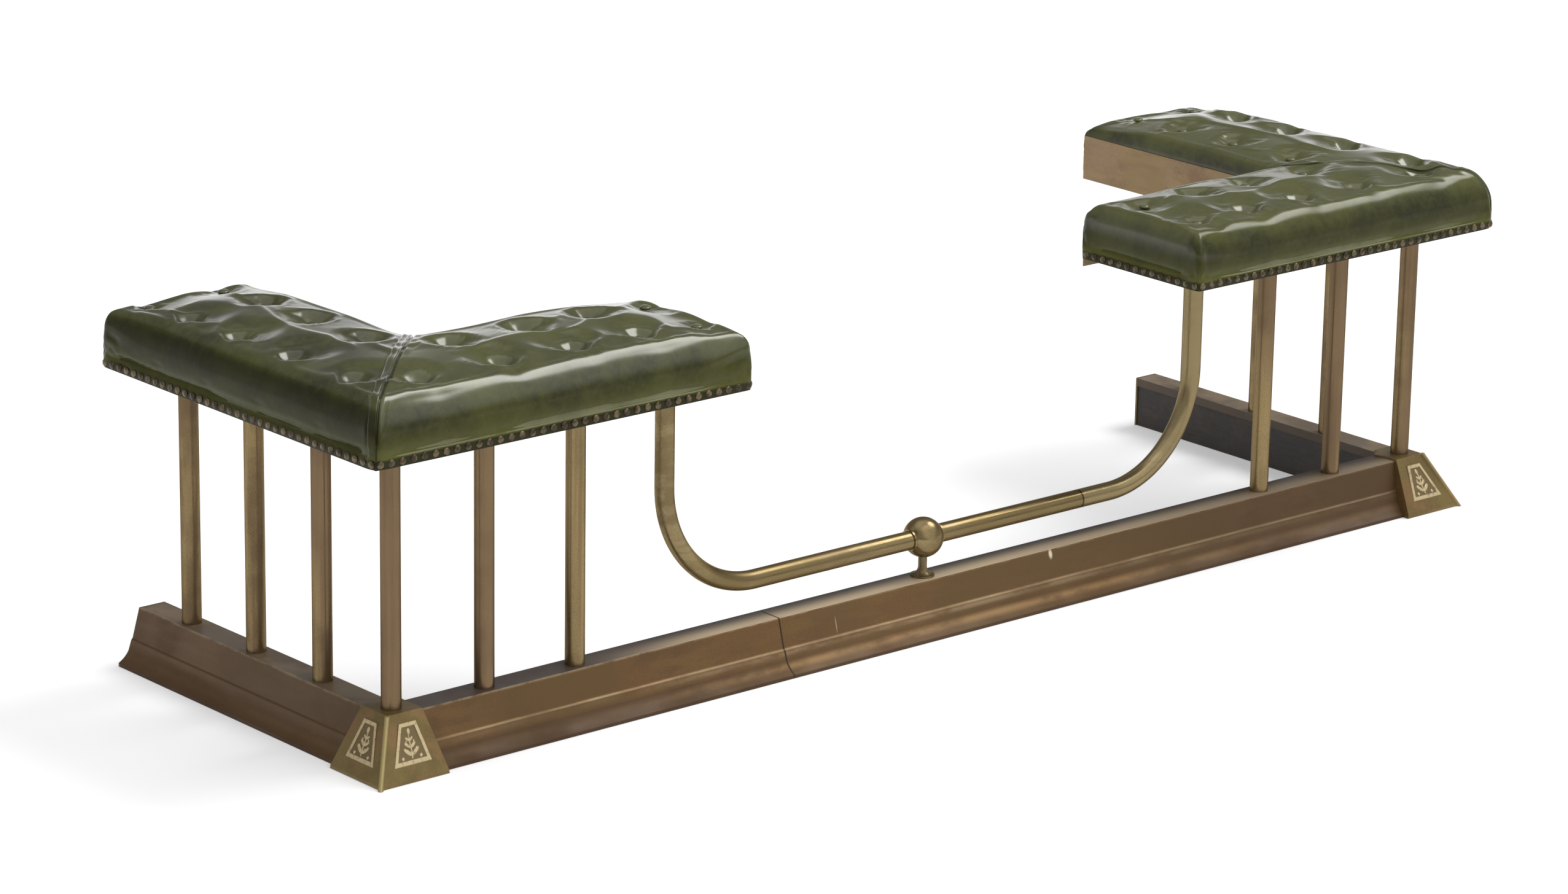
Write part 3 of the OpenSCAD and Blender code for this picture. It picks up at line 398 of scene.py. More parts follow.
def makeKerbBronze(look):
    material, tree, shader, place = newMaterial("plinthBronze")
    where = useGroup(tree, outward, Place=place)
    out, along, height = where["Out"], where["Along"], where["Height"]
    onFront = calc(tree, "SUBTRACT", 1.0, where["Return"])
    worn = tarnished(tree, place, look, 0.6, (0.18, 0.18, 1.0))
    broad = ramp(tree, speckle(tree, place, 3.2, 2.0, 0.5), 0.42, 0.60, 0.0, 0.75)
    colour = blendTones(tree, broad, worn["Colour"], look["patch"])
    ragged = speckle(tree, stretched(tree, place, (0.35, 0.35, 1.0)), 30.0, 4.0, 0.65)
    ragged = ramp(tree, ragged, 0.30, 0.62)
    colour = blendTones(tree, ramp(tree, height, 0.018, 0.028, 0.40, 0.0), colour, look["low"])
    # painted highlights where the faces turn up to the light: a soft pale band under the step and a broken
    # pale band along the flare, less of both at the ends
    for key, shown, share in (("band", "pale", 0.45), ("flareHighlight", "flare", 0.80)):
        off = calc(tree, "ABSOLUTE", calc(tree, "SUBTRACT", height, look[key][0]))
        mask = both(tree, ramp(tree, off, 0.0, look[key][1], share, 0.0), ragged,
                    ramp(tree, out, 0.020, 0.024), ramp(tree, along, -0.60, -0.30, 0.25, 1.0),
                    ramp(tree, along, 0.05, 0.70, 1.0, 0.45), pick(tree, where["Return"], 1.0, 0.2))
        colour = blendTones(tree, mask, colour, look[shown])
    # the top is dark on the fire side and pale towards the arris
    top = ramp(tree, height, 0.0720, 0.0729)
    topFront = blendTones(tree, ramp(tree, out, -0.0185, 0.0170), look["inside"], look["topPale"])
    topFront = blendTones(tree, ramp(tree, along, -0.62, -0.36), look["farTop"], topFront)
    colour = blendTones(tree, both(tree, top, onFront), colour, topFront)
    topReturn = blendTones(tree, where["Right"], look["leftTop"], look["rightTop"])
    topReturn = blendTones(tree, ramp(tree, ragged, 0.2, 0.9, 0.0, 0.45), topReturn, look["inside"])
    colour = blendTones(tree, both(tree, top, where["Return"]), colour, topReturn)
    # the lip that is turned down on the fire side
    colour = blendTones(tree, ramp(tree, out, -0.0196, -0.0192, 0.85, 0.0), colour, look["inside"])
    # the arris at the top is rubbed, the step's edge gets a pale painted highlight, and the foot is dark
    fromArris = lineDistance(tree, out, height, *look["arris"][:2])
    arris = useGroup(tree, rubbed, Place=place, Width=look["arris"][2], Distance=fromArris)["Mask"]
    colour = blendTones(tree, calc(tree, "MULTIPLY", arris, 0.7), colour, look["pale"])
    fromStep, stepWide = lineDistance(tree, out, height, *look["step"][:2]), look["step"][2]
    step = both(tree, ramp(tree, fromStep, stepWide * 0.2, stepWide, 0.5, 0.0), onFront,
                pick(tree, ragged, 0.35, 1.0))
    colour = blendTones(tree, step, colour, look["edge"])
    colour = blendTones(tree, ramp(tree, height, 0.0025, 0.0060, 0.75, 0.0), colour, look["foot"])
    # painted shade: the returns, the foot of the front's left end and the front's right end are darkened
    # towards the foot's dark brown
    shaded = both(tree, where["Return"], ramp(tree, out, 0.018, 0.020, 0.0, 0.42))
    footLeft = both(tree, onFront, ramp(tree, along, -0.55, -0.25, 0.55, 0.1),
                    ramp(tree, height, 0.018, 0.026, 1.0, 0.0))
    footRight = both(tree, onFront, ramp(tree, along, 0.05, 0.75, 0.0, 0.52))
    shaded = calc(tree, "MAXIMUM", shaded, calc(tree, "MAXIMUM", footLeft, footRight))
    colour = blendTones(tree, shaded, colour, look["foot"])
    # the butt joint, a chip and a scratch, all on the front
    toJoint = calc(tree, "ABSOLUTE", calc(tree, "SUBTRACT", along, look["jointAt"]))
    joint = ramp(tree, toJoint, look["jointWide"] * 0.5, look["jointWide"] * 1.3, 0.9, 0.0)
    colour = blendTones(tree, both(tree, joint, onFront), colour, look["joint"])
    for key, share in (("chip", 0.9), ("scratch", 0.35)):
        x, z, wide, tall = look[key]
        spot = lineDistance(tree, along, height, x, z, wide / tall)
        mask = both(tree, ramp(tree, spot, wide * 0.25, wide, share, 0.0), onFront,
                    ramp(tree, out, 0.0185, 0.0200))
        colour = blendTones(tree, mask, colour, look["bare"])
    # the flare under the step is dull
    flare = both(tree, ramp(tree, height, 0.020, 0.030, 1.0, 0.0), ramp(tree, out, 0.022, 0.026))
    duller = calc(tree, "ADD", 0.06, calc(tree, "MULTIPLY", flare, 0.16))
    wire(tree, shader, Base_Color=colour, Roughness=calc(tree, "ADD", worn["Roughness"], duller),
         Metallic=pick(tree, flare, look["metal"], look["flareMetal"]), Specular_IOR_Level=0.4,
         Normal=bumped(tree, worn["Height"], 0.08, 0.0004))
    return material


plinthBronze = makeKerbBronze(kerbLook)

castLook = {
    "base": (124, 106, 60), "dark": (102, 85, 48), "streak": (130, 100, 62), "pit": (110, 93, 62),
    "rubbed": (210, 192, 150), "bead": (172, 156, 104), "metal": 0.5,
    # the corner casting as the solid has it, in millimetres: how far it reaches at its foot and at
    # its top, its height, its upright edge, and how far a face runs from the corner, low and high
    "reach": 62.0, "top": 22.5, "height": 76.0, "edge": 4.0, "run": 42.0, "topRun": 30.0,
    # the panel on each face: its margin, where it starts and ends, its border and its ground's rise
    "margin": 17.5, "low": 20.0, "high": 65.0, "border": 4.5, "ground": 0.8,
}


def makeCastBrass(name, look, sprayed=False):
    material, tree, shader, place = newMaterial(name)
    where = useGroup(tree, outward, Place=place)
    worn = tarnished(tree, place, look, 0.75, (0.6, 0.6, 0.6))
    breakUp = ramp(tree, speckle(tree, place, 190.0, 4.0, 0.6), 0.30, 0.50, 0.45, 1.0)
    if sprayed:
        # pale where the spray's own relief is high
        relief = put(tree, "ShaderNodeAttribute", attribute_name="relief").outputs["Fac"]
        onPanel, raised = 1.0, both(tree, ramp(tree, relief, 0.15, 0.60), breakUp)
    else:
        # how far a point is inside the panel's outline, in millimetres
        up, out, diagonal = (calc(tree, "MULTIPLY", where[k], 1000.0) for k in ("Height", "Out", "Diagonal"))
        slope = (look["reach"] - look["top"]) / look["height"]
        narrow = (look["run"] - look["topRun"]) / look["height"]
        # distance from the corner's diagonal less the outside distance is the place across the face
        across = calc(tree, "SUBTRACT", calc(tree, "ABSOLUTE", diagonal), out)
        fromBead = calc(tree, "ADD", calc(tree, "SUBTRACT", across, calc(tree, "MULTIPLY", up, slope)),
                        look["reach"] - look["margin"])
        fromEnd = calc(tree, "SUBTRACT", look["run"] - look["margin"],
                       calc(tree, "ADD", across, calc(tree, "MULTIPLY", up, narrow)))
        fromFoot = calc(tree, "SUBTRACT", up, look["low"])
        fromTop = calc(tree, "SUBTRACT", look["high"], up)
        inside = calc(tree, "MINIMUM", calc(tree, "MINIMUM", fromBead, fromEnd),
                      calc(tree, "MINIMUM", fromFoot, fromTop))
        onPanel = both(tree, ramp(tree, inside, -0.4, 0.2), ramp(tree, out, 20.0, 22.0))
        border = ramp(tree, inside, look["border"] - 0.4, look["border"] + 0.3, 1.0, 0.0)
        raised = both(tree, border, breakUp)
    panel = blendTones(tree, calc(tree, "MULTIPLY", raised, 0.85), look["pit"], look["rubbed"])
    colour = blendTones(tree, calc(tree, "MULTIPLY", onPanel, 0.9), worn["Colour"], panel)
    # a painted highlight: a pale line along the corner's bead
    off = calc(tree, "ABSOLUTE", where["Diagonal"])
    bead = both(tree, ramp(tree, off, 0.002, 0.0055, 0.75, 0.0), ramp(tree, where["Out"], 0.021, 0.023))
    colour = blendTones(tree, bead, colour, look["bead"])
    wire(tree, shader, Base_Color=colour, Roughness=worn["Roughness"], Metallic=look["metal"],
         Normal=bumped(tree, worn["Height"], 0.18, 0.0005))
    return material


castBrass = makeCastBrass("castBrass", castLook)
castSpray = makeCastBrass("castSpray", castLook, sprayed=True)

plainLooks = {
    "darkCore": {"paint": (44, 39, 36), "dusty": (66, 59, 53), "fibre": (34, 28, 26),
                 "scuffed": (118, 106, 92)},
    "seatBoard": {"wood": (176, 138, 96), "rings": (138, 100, 64), "rough": 0.65},
    "liningCloth": {"deep": (20, 20, 22), "thread": (46, 45, 46), "threads": 4200.0, "rough": 0.9,
                    "sheen": 0.2},
    "blackIron": {"steel": (58, 57, 58), "rust": (92, 62, 44), "metal": 0.6},
    "nailBrass": {"dark": (58, 49, 34), "bright": (106, 94, 68), "speck": (52, 44, 34), "metal": 0.7},
}


def makeDarkCore(look):
    # timber painted near black, dusty and scuffed paler along its top
    material, tree, shader, place = newMaterial("darkCore")
    fibre = speckle(tree, stretched(tree, place, (0.08, 0.08, 1.0)), 240.0, 4.0, 0.6)
    dust = speckle(tree, place, 22.0, 5.0, 0.7)
    colour = blendTones(tree, ramp(tree, dust, 0.42, 0.66), look["paint"], look["dusty"])
    colour = blendTones(tree, ramp(tree, fibre, 0.5, 0.7, 0.0, 0.5), colour, look["fibre"])
    top = ramp(tree, useGroup(tree, outward, Place=place)["Height"], 0.0700, 0.0715, 0.0, 0.55)
    colour = blendTones(tree, top, colour, look["scuffed"])
    wire(tree, shader, Base_Color=colour, Roughness=ramp(tree, dust, 0.3, 0.7, 0.55, 0.75),
         Normal=bumped(tree, fibre, 0.35, 0.0006))
    return material


def makeSeatWood(look):
    # plain board: rings stretched along the length
    material, tree, shader, place = newMaterial("seatBoard")
    rings = put(tree, "ShaderNodeTexWave", {
        "Vector": stretched(tree, place, (0.15, 1.0, 1.0)), "Scale": 40.0,
        "Distortion": 6.0, "Detail": 3.0, "Detail Scale": 1.4}).outputs[1]
    wire(tree, shader, Base_Color=blendTones(tree, rings, look["wood"], look["rings"]),
         Roughness=look["rough"], Normal=bumped(tree, rings, 0.2, 0.0004))
    return material


def makeLining(look):
    # black cloth: two crossing weaves of fine threads
    material, tree, shader, place = newMaterial("liningCloth")
    parts = put(tree, "ShaderNodeSeparateXYZ", {0: place}).outputs
    threads = [calc(tree, "SINE", calc(tree, "MULTIPLY", parts[i], look["threads"])) for i in (0, 1)]
    weave = both(tree, *threads)
    colour = blendTones(tree, ramp(tree, weave, -0.6, 0.8), look["deep"], look["thread"])
    wire(tree, shader, Base_Color=colour, Roughness=look["rough"], Sheen_Weight=look["sheen"],
         Normal=bumped(tree, weave, 0.3, 0.0003))
    return material


def makeIron(look):
    # blackened mild steel, with rust starting in patches
    material, tree, shader, place = newMaterial("blackIron")
    scale = speckle(tree, place, 60.0, 5.0, 0.65)
    colour = blendTones(tree, ramp(tree, scale, 0.5, 0.68), look["steel"], look["rust"])
    wire(tree, shader, Base_Color=colour, Roughness=ramp(tree, scale, 0.4, 0.7, 0.42, 0.75),
         Metallic=look["metal"], Normal=bumped(tree, scale, 0.3, 0.0005))
    return material


def makeNailBrass(look):
    # antiqued heads, each a little different, darker in specks
    material, tree, shader, place = newMaterial("nailBrass")
    each = speckle(tree, place, 95.0, 1.0, 0.5)
    fine = speckle(tree, place, 900.0, 2.0, 0.6)
    colour = blendTones(tree, ramp(tree, each, 0.35, 0.65), look["dark"], look["bright"])
    colour = blendTones(tree, ramp(tree, fine, 0.5, 0.7, 0.0, 0.6), colour, look["speck"])
    wire(tree, shader, Base_Color=colour, Roughness=ramp(tree, fine, 0.3, 0.7, 0.30, 0.5),
         Metallic=look["metal"], Normal=bumped(tree, fine, 0.15, 0.0003))
    return material


darkCore, seatBoard, liningCloth, blackIron, nailBrass = (
    make(plainLooks[name]) for make, name in (
        (makeDarkCore, "darkCore"), (makeSeatWood, "seatBoard"), (makeLining, "liningCloth"),
        (makeIron, "blackIron"), (makeNailBrass, "nailBrass")))

hideLook = {
    # "worn" is the pale tone of the creases and the worn tops, and is also laid on as a painted reflection
    # low on the sides and a painted sheen on the tops; "shadow" is the tone of painted shade
    "deep": (42, 42, 17), "middle": (68, 70, 29), "worn": (96, 97, 50), "shadow": (27, 25, 9),
    "topWearAndSheen": (0.32, 0.44), "sideDark": (0.22, 0.42),        # how far, on the left and on the right
    "roughLow": 0.17, "roughHigh": 0.27, "sheenTint": (1.0, 0.98, 0.78, 1.0), "gloss": 0.15,
    "polish": 0.95, "polishRough": 0.21,      # the polish is on the tops and the upper half of the sides
    "grain": 0.06,
    "nailBand": 0.0115,                       # height of the dark band that the nails stand on
}


def makeHide(name, look):
    material, tree, shader, place = newMaterial(name)
    where = useGroup(tree, outward, Place=place)
    skin = useGroup(tree, hideGrain, Place=place)
    colour = blendTones(tree, ramp(tree, skin["Clouds"], 0.36, 0.64), look["deep"], look["middle"])
    colour = blendTones(tree, calc(tree, "MULTIPLY", skin["Creases"], 0.18), colour, look["worn"])
    colour = blendTones(tree, ramp(tree, skin["Pebbles"], 0.0, 0.6, 0.25, 0.0), colour, look["deep"])
    bottom = seatZ / 1000
    up = calc(tree, "SUBTRACT", where["Height"], bottom)
    onFront = pick(tree, where["Return"], 1.0, 0.0)
    leftReturn = both(tree, where["Return"], pick(tree, where["Right"], 1.0, 0.0))
    # a painted reflection of the floor: the sides are paler low down, where they flare outwards
    colour = blendTones(tree, ramp(tree, up, 0.012, 0.048, 0.50, 0.0), colour, look["worn"])
    # the tops are paler, partly worn and partly a painted sheen, but hardly on the left return
    top = both(tree, ramp(tree, up, 0.060, 0.076), pick(tree, where["Right"], *look["topWearAndSheen"]),
               pick(tree, leftReturn, 1.0, 0.1))
    colour = blendTones(tree, top, colour, look["worn"])
    # painted shade: the front sides are darker half way up
    half = both(tree, ramp(tree, up, 0.012, 0.030), ramp(tree, up, 0.046, 0.066, 1.0, 0.0), onFront,
                pick(tree, where["Right"], *look["sideDark"]))
    colour = blendTones(tree, half, colour, look["shadow"])
    # painted shade: the left return's sides, which face away from the light, get darker upwards
    turned = both(tree, leftReturn, ramp(tree, up, 0.010, 0.050, 0.35, 0.75),
                  ramp(tree, up, 0.062, 0.074, 1.0, 0.0))
    colour = blendTones(tree, turned, colour, look["shadow"])
    # painted shade: a dark band along the nails, where the leather between the heads lies in shade, and a
    # dark line in the lapped seam's groove
    bandTop = look["nailBand"]
    band = ramp(tree, where["Height"], bottom + bandTop * 0.8, bottom + bandTop * 1.15, 0.9, 0.0)
    seam = both(tree, ramp(tree, where["Diagonal"], -0.0006, 0.0006),
                ramp(tree, where["Diagonal"], 0.0018, 0.0034, 0.8, 0.0))
    colour = blendTones(tree, calc(tree, "MAXIMUM", band, seam), colour, look["shadow"])
    # the right seat's rounding along the front has lost some of its polish, the left return's sides most
    dull = both(tree, where["Right"], onFront, ramp(tree, where["Out"], 0.050, 0.062),
                ramp(tree, up, 0.045, 0.055))
    polish = both(tree, ramp(tree, up, 0.034, 0.060, 0.0, look["polish"]), pick(tree, dull, 1.0, 0.40),
                  ramp(tree, turned, 0.0, 0.4, 1.0, 0.1))
    wire(tree, shader, Base_Color=colour,
         Roughness=ramp(tree, skin["Clouds"], 0.3, 0.7, look["roughHigh"], look["roughLow"]),
         Specular_IOR_Level=look["gloss"], Specular_Tint=look["sheenTint"],
         Coat_Weight=polish, Coat_Roughness=look["polishRough"],
         Normal=bumped(tree, skin["Height"], look["grain"], 0.0004))
    return material


hide = makeHide("greenHide", hideLook)

finishes = {
    "tube_brass": tubeBrass, "cast_brass": castBrass, "plate_brass": plateBrass, "strip_brass": stripBrass,
    "plinth_bronze": plinthBronze, "dark_core": darkCore, "nail_brass": nailBrass, "leather": hide,
    "button_leather": hide, "seat_board": seatBoard, "lining": liningCloth, "iron": blackIron,
}
ownFinishes = {
    "left_rail_tube": railBrass, "right_rail_tube": railBrass, "centre_rail": railBrass,
    "rail_ball": railBrass, "rail_foot": plateBrass,
}
for row in frame["record"]["subparts"]:
    part = nodes[row["node"]]
    part.data.materials.clear()
    part.data.materials.append(ownFinishes.get(row["node"], finishes[row["material_slot"]]))
print("finishes made and put on the frame")


spray = {
    "rows": 64, "columns": 58,                # lines of the sheet
    "low": 24.5, "high": 60.5, "side": 22.0,  # where it starts and ends, and how far in from the face's sides
    "height": 1.25, "sunk": 0.2, "back": 0.9, # how high its forms stand, and how far the sheet is let in
    "stem": (1.2, 1.5, 34.0, 0.75),           # half width, foot, top, height
    "sway": (0.7, 6.0),                       # how far the stem bends, and over what length
    "leaves": [(5.0, 15.0, 5.4), (14.5, 11.0, 4.4), (23.0, 7.5, 3.4)],      # start on the stem, length, width
    "lean": 40.0, "vein": (0.35, 0.45),       # the leaves' angle, and their groove's depth and half width
    "bud": (34.5, 8.0, 5.0),                  # place on the stem, length, width
    "berries": [(13.5, 3.2, 2.3), (8.6, 13.6, 1.6), (5.6, 22.6, 1.3)],      # across, up, radius
    "berryHigh": 0.9,
}


def dome(x, y, long, wide):
    # the square root of 1 less the squares of both offsets over their half sizes
    return np.sqrt(np.clip(1 - (x / (long / 2)) ** 2 - (y / (wide / 2)) ** 2, 0, 1))


def sprayRelief(across, up, look):
    # a bent stem with paired leaves, a bud on top and berries between: the highest form at each point
    fromStem = across - look["sway"][0] * np.sin(up / look["sway"][1])
    stemWide, stemFoot, stemTop, stemHigh = look["stem"]
    stem = stemHigh * np.sqrt(np.clip(1 - (fromStem / stemWide) ** 2, 0, 1))
    lean = math.radians(look["lean"])
    budAt, budLong, budWide = look["bud"]
    forms = [stem * (up > stemFoot) * (up < stemTop), dome(up - budAt, across, budLong, budWide)]
    for way in (-1, 1):
        for start, long, wide in look["leaves"]:
            x, y = fromStem * way, up - start
            s = x * math.cos(lean) + y * math.sin(lean) - long / 2
            t = y * math.cos(lean) - x * math.sin(lean)
            groove = 1 - look["vein"][0] * np.exp(-(t / look["vein"][1]) ** 2)
            forms.append(dome(s, t, long, wide) * groove)
        for x, y, radius in look["berries"]:
            forms.append(look["berryHigh"] * dome(across - x * way, up - y, 2 * radius, 2 * radius))
    return np.max(forms, axis=0)


def makeSpray(side, look):
    # a closed sheet on each leaning face, its edges sunk in the panel's ground
    c = castLook
    slope = (c["reach"] - c["top"]) / c["height"]
    steep = math.hypot(1, slope)
    facing = np.array([0, -1, slope]) / steep
    rows, columns = look["rows"], look["columns"]
    t, s = np.meshgrid(np.linspace(0, 1, rows), np.linspace(0, 1, columns), indexing="ij")
    z = look["low"] + (look["high"] - look["low"]) * t
    leftEdge = -(c["reach"] - slope * z) + look["side"]
    rightEdge = c["run"] - (c["run"] - c["topRun"]) * z / c["height"] - look["side"]
    x = leftEdge + (rightEdge - leftEdge) * s
    relief = sprayRelief((s - 0.5) * (rightEdge - leftEdge), (z - look["low"]) * steep, look)
    # the face leans from its upright edge, and the panel's ground stands out of it near the top
    shoulder = 2 * c["edge"]
    shoulderReach = c["reach"] - slope * c["edge"]
    face = shoulderReach - (shoulderReach - c["top"]) * (z - shoulder) / (c["height"] - shoulder)
    out = np.maximum(face, c["reach"] - slope * z + c["ground"] * steep)
    onFace = np.stack([x, -out, z], -1)
    front = onFace + facing * (look["height"] * relief - look["sunk"])[..., None]
    behind = onFace - facing * look["back"]
    sheet = np.concatenate([front.reshape(-1, 3), behind.reshape(-1, 3)])
    count = rows * columns
    number = np.arange(count).reshape(rows, columns)
    edge = np.concatenate([number[0, :-1], number[:-1, -1], number[-1, :0:-1], number[:0:-1, 0]])
    after = np.roll(edge, -1)
    faces = []
    for start in (0, len(sheet)):             # one sheet on the front's face, one on the return's
        faces += gridFaces(rows, columns, start) + gridFaces(rows, columns, start + count, flip=True)
        faces += (np.stack([edge, edge + count, after + count, after], 1) + start).tolist()
    placed = np.concatenate([sheet, sheet[:, [1, 0, 2]]]) - [0, 0, seatZ]
    piece = newObject(side + "_panel_sprays", toSide(placed, side), faces, castSpray)
    values = np.tile(np.concatenate([relief.ravel(), 0 * relief.ravel()]), 2)
    piece.data.attributes.new("relief", "FLOAT", "POINT").data.foreach_set("value", values)
    turnOutward(piece)
    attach(piece, "root")


for side in sides:
    makeSpray(side, spray)
print("sprays on the corner panels made")


seat = {
    "over": 82.0,             # outer edge, outside the posts
    "inner": 143.7,           # fire side of the leather
    "thick": 75.0, "crown": 13.0,
    "crownEnds": (0.3, 110.0),                # how much of the crown an arm's end keeps, and over what length
    "roundW": 30.0, "roundH": 42.0,           # the outer edges' rounding
    "roundIn": 18.0, "roundInH": 26.0,        # the rounding on the fire side and at the ends
    "tight": {"left": 0.42, "right": 0.15},   # how much the outer rounding shrinks at the arms' ends
    "tightEnds": 90.0,        # over this length
    "square": (4.5, 5.5, 7.0),                # the corners' exponents: the mitre's, an arm's outer, its inner
    "pull": 2.6,              # how far the side is drawn in above the nails
    "pullAt": 17.0, "pullWide": 6.5, "belly": 1.0,
    "tuftFlat": 5.5, "pit": {1: (26.0, 0.36), 0: (20.0, 0.14)},      # radius and share, outer and inner tufts
    "bowl": {1: (66.0, 30.0), 0: (36.0, 52.0)},   # reach of a tuft towards the fire side and the outside
    "lobes": 0.05,            # how far a bowl's outline waves
    "tilt": {"left": (7.0, 6.0), "right": (3.0, -5.0)},   # how much higher the fire side is, by arm
    "tiltEnds": 130.0,        # the slope ends over this length
    "droop": {"left": (3.0, 0.0), "right": (0.0, 9.0)},   # how far each arm's end hangs
    "droopEnds": 150.0,
    "pleat": 3.2, "pleatWide": 21.0, "pleatEnds": (-70.0, -20.0),    # from an outer button to the edge
    "ridge": 1.8, "ridgeAt": 34.0,            # the crest between the two rows of buttons
    "ridgeWide": (13.0, 5.0),                 # towards the outside and towards the fire side
    "ridgeWave": (6.0, 27.0),                 # how far it wanders, and over what length
    "ridgeTurn": (44.0, 210.0, 60.0),         # how far it turns inwards between two distances from the end
    "ridgeFrom": (105.0, 150.0), "ridgeTo": (20.0, 60.0),     # from the corner post, from the end
    "ruck": 0.30, "ruckAt": 17.0, "ruckWide": 7.0,        # small folds round each button
    "swell": (0.7, 0.5),      # broad and narrow unevenness
    "dent": 1.0, "dentWide": 12.0,            # in the side under each outer button
    "wrap": 2.3,              # how far the leather covers the strips' ends
    "skirt": 4.0, "underside": 20.6,
    "edgeLines": 13, "acrossLines": 68, "alongLines": 176,
}
buttonRows = {
    "pitch": 125.0, "squeeze": 11.0, "first": {"left": 27.0, "right": 10.0, "return": 33.0},
    "outer": {"front": -18.0, "return": -28.0}, "inner": 84.0, "outerCount": 5,
    "wide": 15.0, "high": 5.0, "lift": 1.0, "rings": 9, "around": 28,
    "tuck": -0.55, "bulge": 0.85,             # how far the rim turns under, in radians, and how full it is
    "puckers": 9, "pucker": 0.012,
    "cadTuft": {1: 12.0, 0: 9.0}, "cadCrown": 10.0,       # as the solids have them
}
# the lapped seam's height over the leather at distances from it, along the return on the left
seamAcross = [-16, -13.4, -12.3, -11.2, -10, -8, -5.5, -3, -1.4, -0.6, -0.1, 0.4, 1.2, 2.6, 4.5, 7, 11]
seamUp = [0, -0.4, -1.5, 0.9, 1.7, 1.5, 1.2, 1.6, 2.4, 2.3, 0.8, -2.0, -2.1, -1.0, 0.9, 0.9, 0]


def cadHeight(x, y, arm, outerRow):
    # the frame's own height at a button, so that each one stays where its solid is
    d = buttonRows
    across = (y if arm == "front" else x) + seat["over"]
    bulge = math.sin(math.pi * across / (seat["inner"] + seat["over"]))
    return seat["thick"] + d["cadCrown"] * bulge - d["cadTuft"][outerRow]


def buttonPlaces(side):
    # an arm's two rows as places along and across it from the corner post, each next button a little
    # closer to the last
    i = np.arange(buttonRows["outerCount"])
    step = buttonRows["pitch"] * i - buttonRows["squeeze"] * i * (i - 1) / 2
    places = {}
    for arm, key in (("front", side), ("return", "return")):
        along = buttonRows["first"][key] + step
        outer = np.stack([along, np.full_like(along, buttonRows["outer"][arm])], 1)
        inner = np.stack([along[1:], np.full_like(along[1:], buttonRows["inner"])], 1)
        places[arm] = (outer, inner)
    return places


def planButtons(side):
    # all of a seat's buttons as x, y, whether they are in an outer row, and the arm
    places = buttonPlaces(side)
    flat = []
    for arm in ("front", "return"):
        for outerRow, spots in zip((1, 0), places[arm]):
            turned = spots if arm == "front" else spots[:, ::-1]
            flat += [(x, y, outerRow, arm) for x, y in turned.tolist()]
    return flat


def seatEdges(x, y, side):
    # distances inward from the outer edges, the fire side's edges and the two ends
    d = seat
    outer = np.minimum(x, y) + d["over"]
    inner = np.maximum(d["inner"] - x, d["inner"] - y)
    ends = np.minimum(armEnds[side][0] - x, armEnds[side][1] - y)
    return outer, inner, ends


def outOfFlat(x, y, side):
    # how far out a point is in the rounding of the nearest edge, from 0 to 1, and that rounding's height
    outer, inner, ends = seatEdges(x, y, side)
    tight = 1 - seat["tight"][side] * (1 - smoothStep(0, seat["tightEnds"], ends))
    fromOuter, fromInner = outer / (seat["roundW"] * tight), np.minimum(inner, ends) / seat["roundIn"]
    height = seat["roundH"] * tight
    height += (seat["roundInH"] - height) * smoothStep(-0.7, 0.7, fromOuter - fromInner)
    return np.clip(1 - np.minimum(fromOuter, fromInner), 0, 1), height


def crownOver(x, y, side):
    # half a sine wave across an arm and a slight slope, dying out or drooping towards its end
    d = seat
    outer, inner, ends = seatEdges(x, y, side)
    across = np.clip(outer / (outer + inner), 0, 1)
    onReturn = smoothStep(-50, 50, y - x)
    tilt, droop = (d[key][side][0] * (1 - onReturn) + d[key][side][1] * onReturn for key in ("tilt", "droop"))
    slope = np.where(tilt > 0, tilt * across, -tilt * (1 - across)) * smoothStep(0, d["tiltEnds"], ends)
    kept, crownEnd = d["crownEnds"]
    crown = d["crown"] * np.sin(np.pi * across) * (kept + (1 - kept) * smoothStep(0, crownEnd, ends))
    return crown + slope - droop * (1 - smoothStep(0, d["droopEnds"], ends))


def crest(x, y, side):
    # A low ridge along each arm, gentle towards the outside and short towards the fire side: the
    # exponential of minus the squared distance from a wavy line, over one width or the other.
    d = seat
    (wander, wave), (inwards, turnFrom, turnTo) = d["ridgeWave"], d["ridgeTurn"]
    total = np.zeros_like(x)
    for i, end in enumerate(armEnds[side]):
        along, across = (y, x) if i else (x, y)
        line = (d["ridgeAt"] + wander * np.sin(along / wave + 2.2 * i)
                + inwards * smoothStep(end - turnFrom, end - turnTo, along))
        t = across - line
        width = np.where(t < 0, *d["ridgeWide"])
        total = np.maximum(total, np.exp(-(t / width) ** 2) * smoothStep(*d["ridgeFrom"], along)
                           * smoothStep(*d["ridgeTo"], end - along))
    return d["ridge"] * total


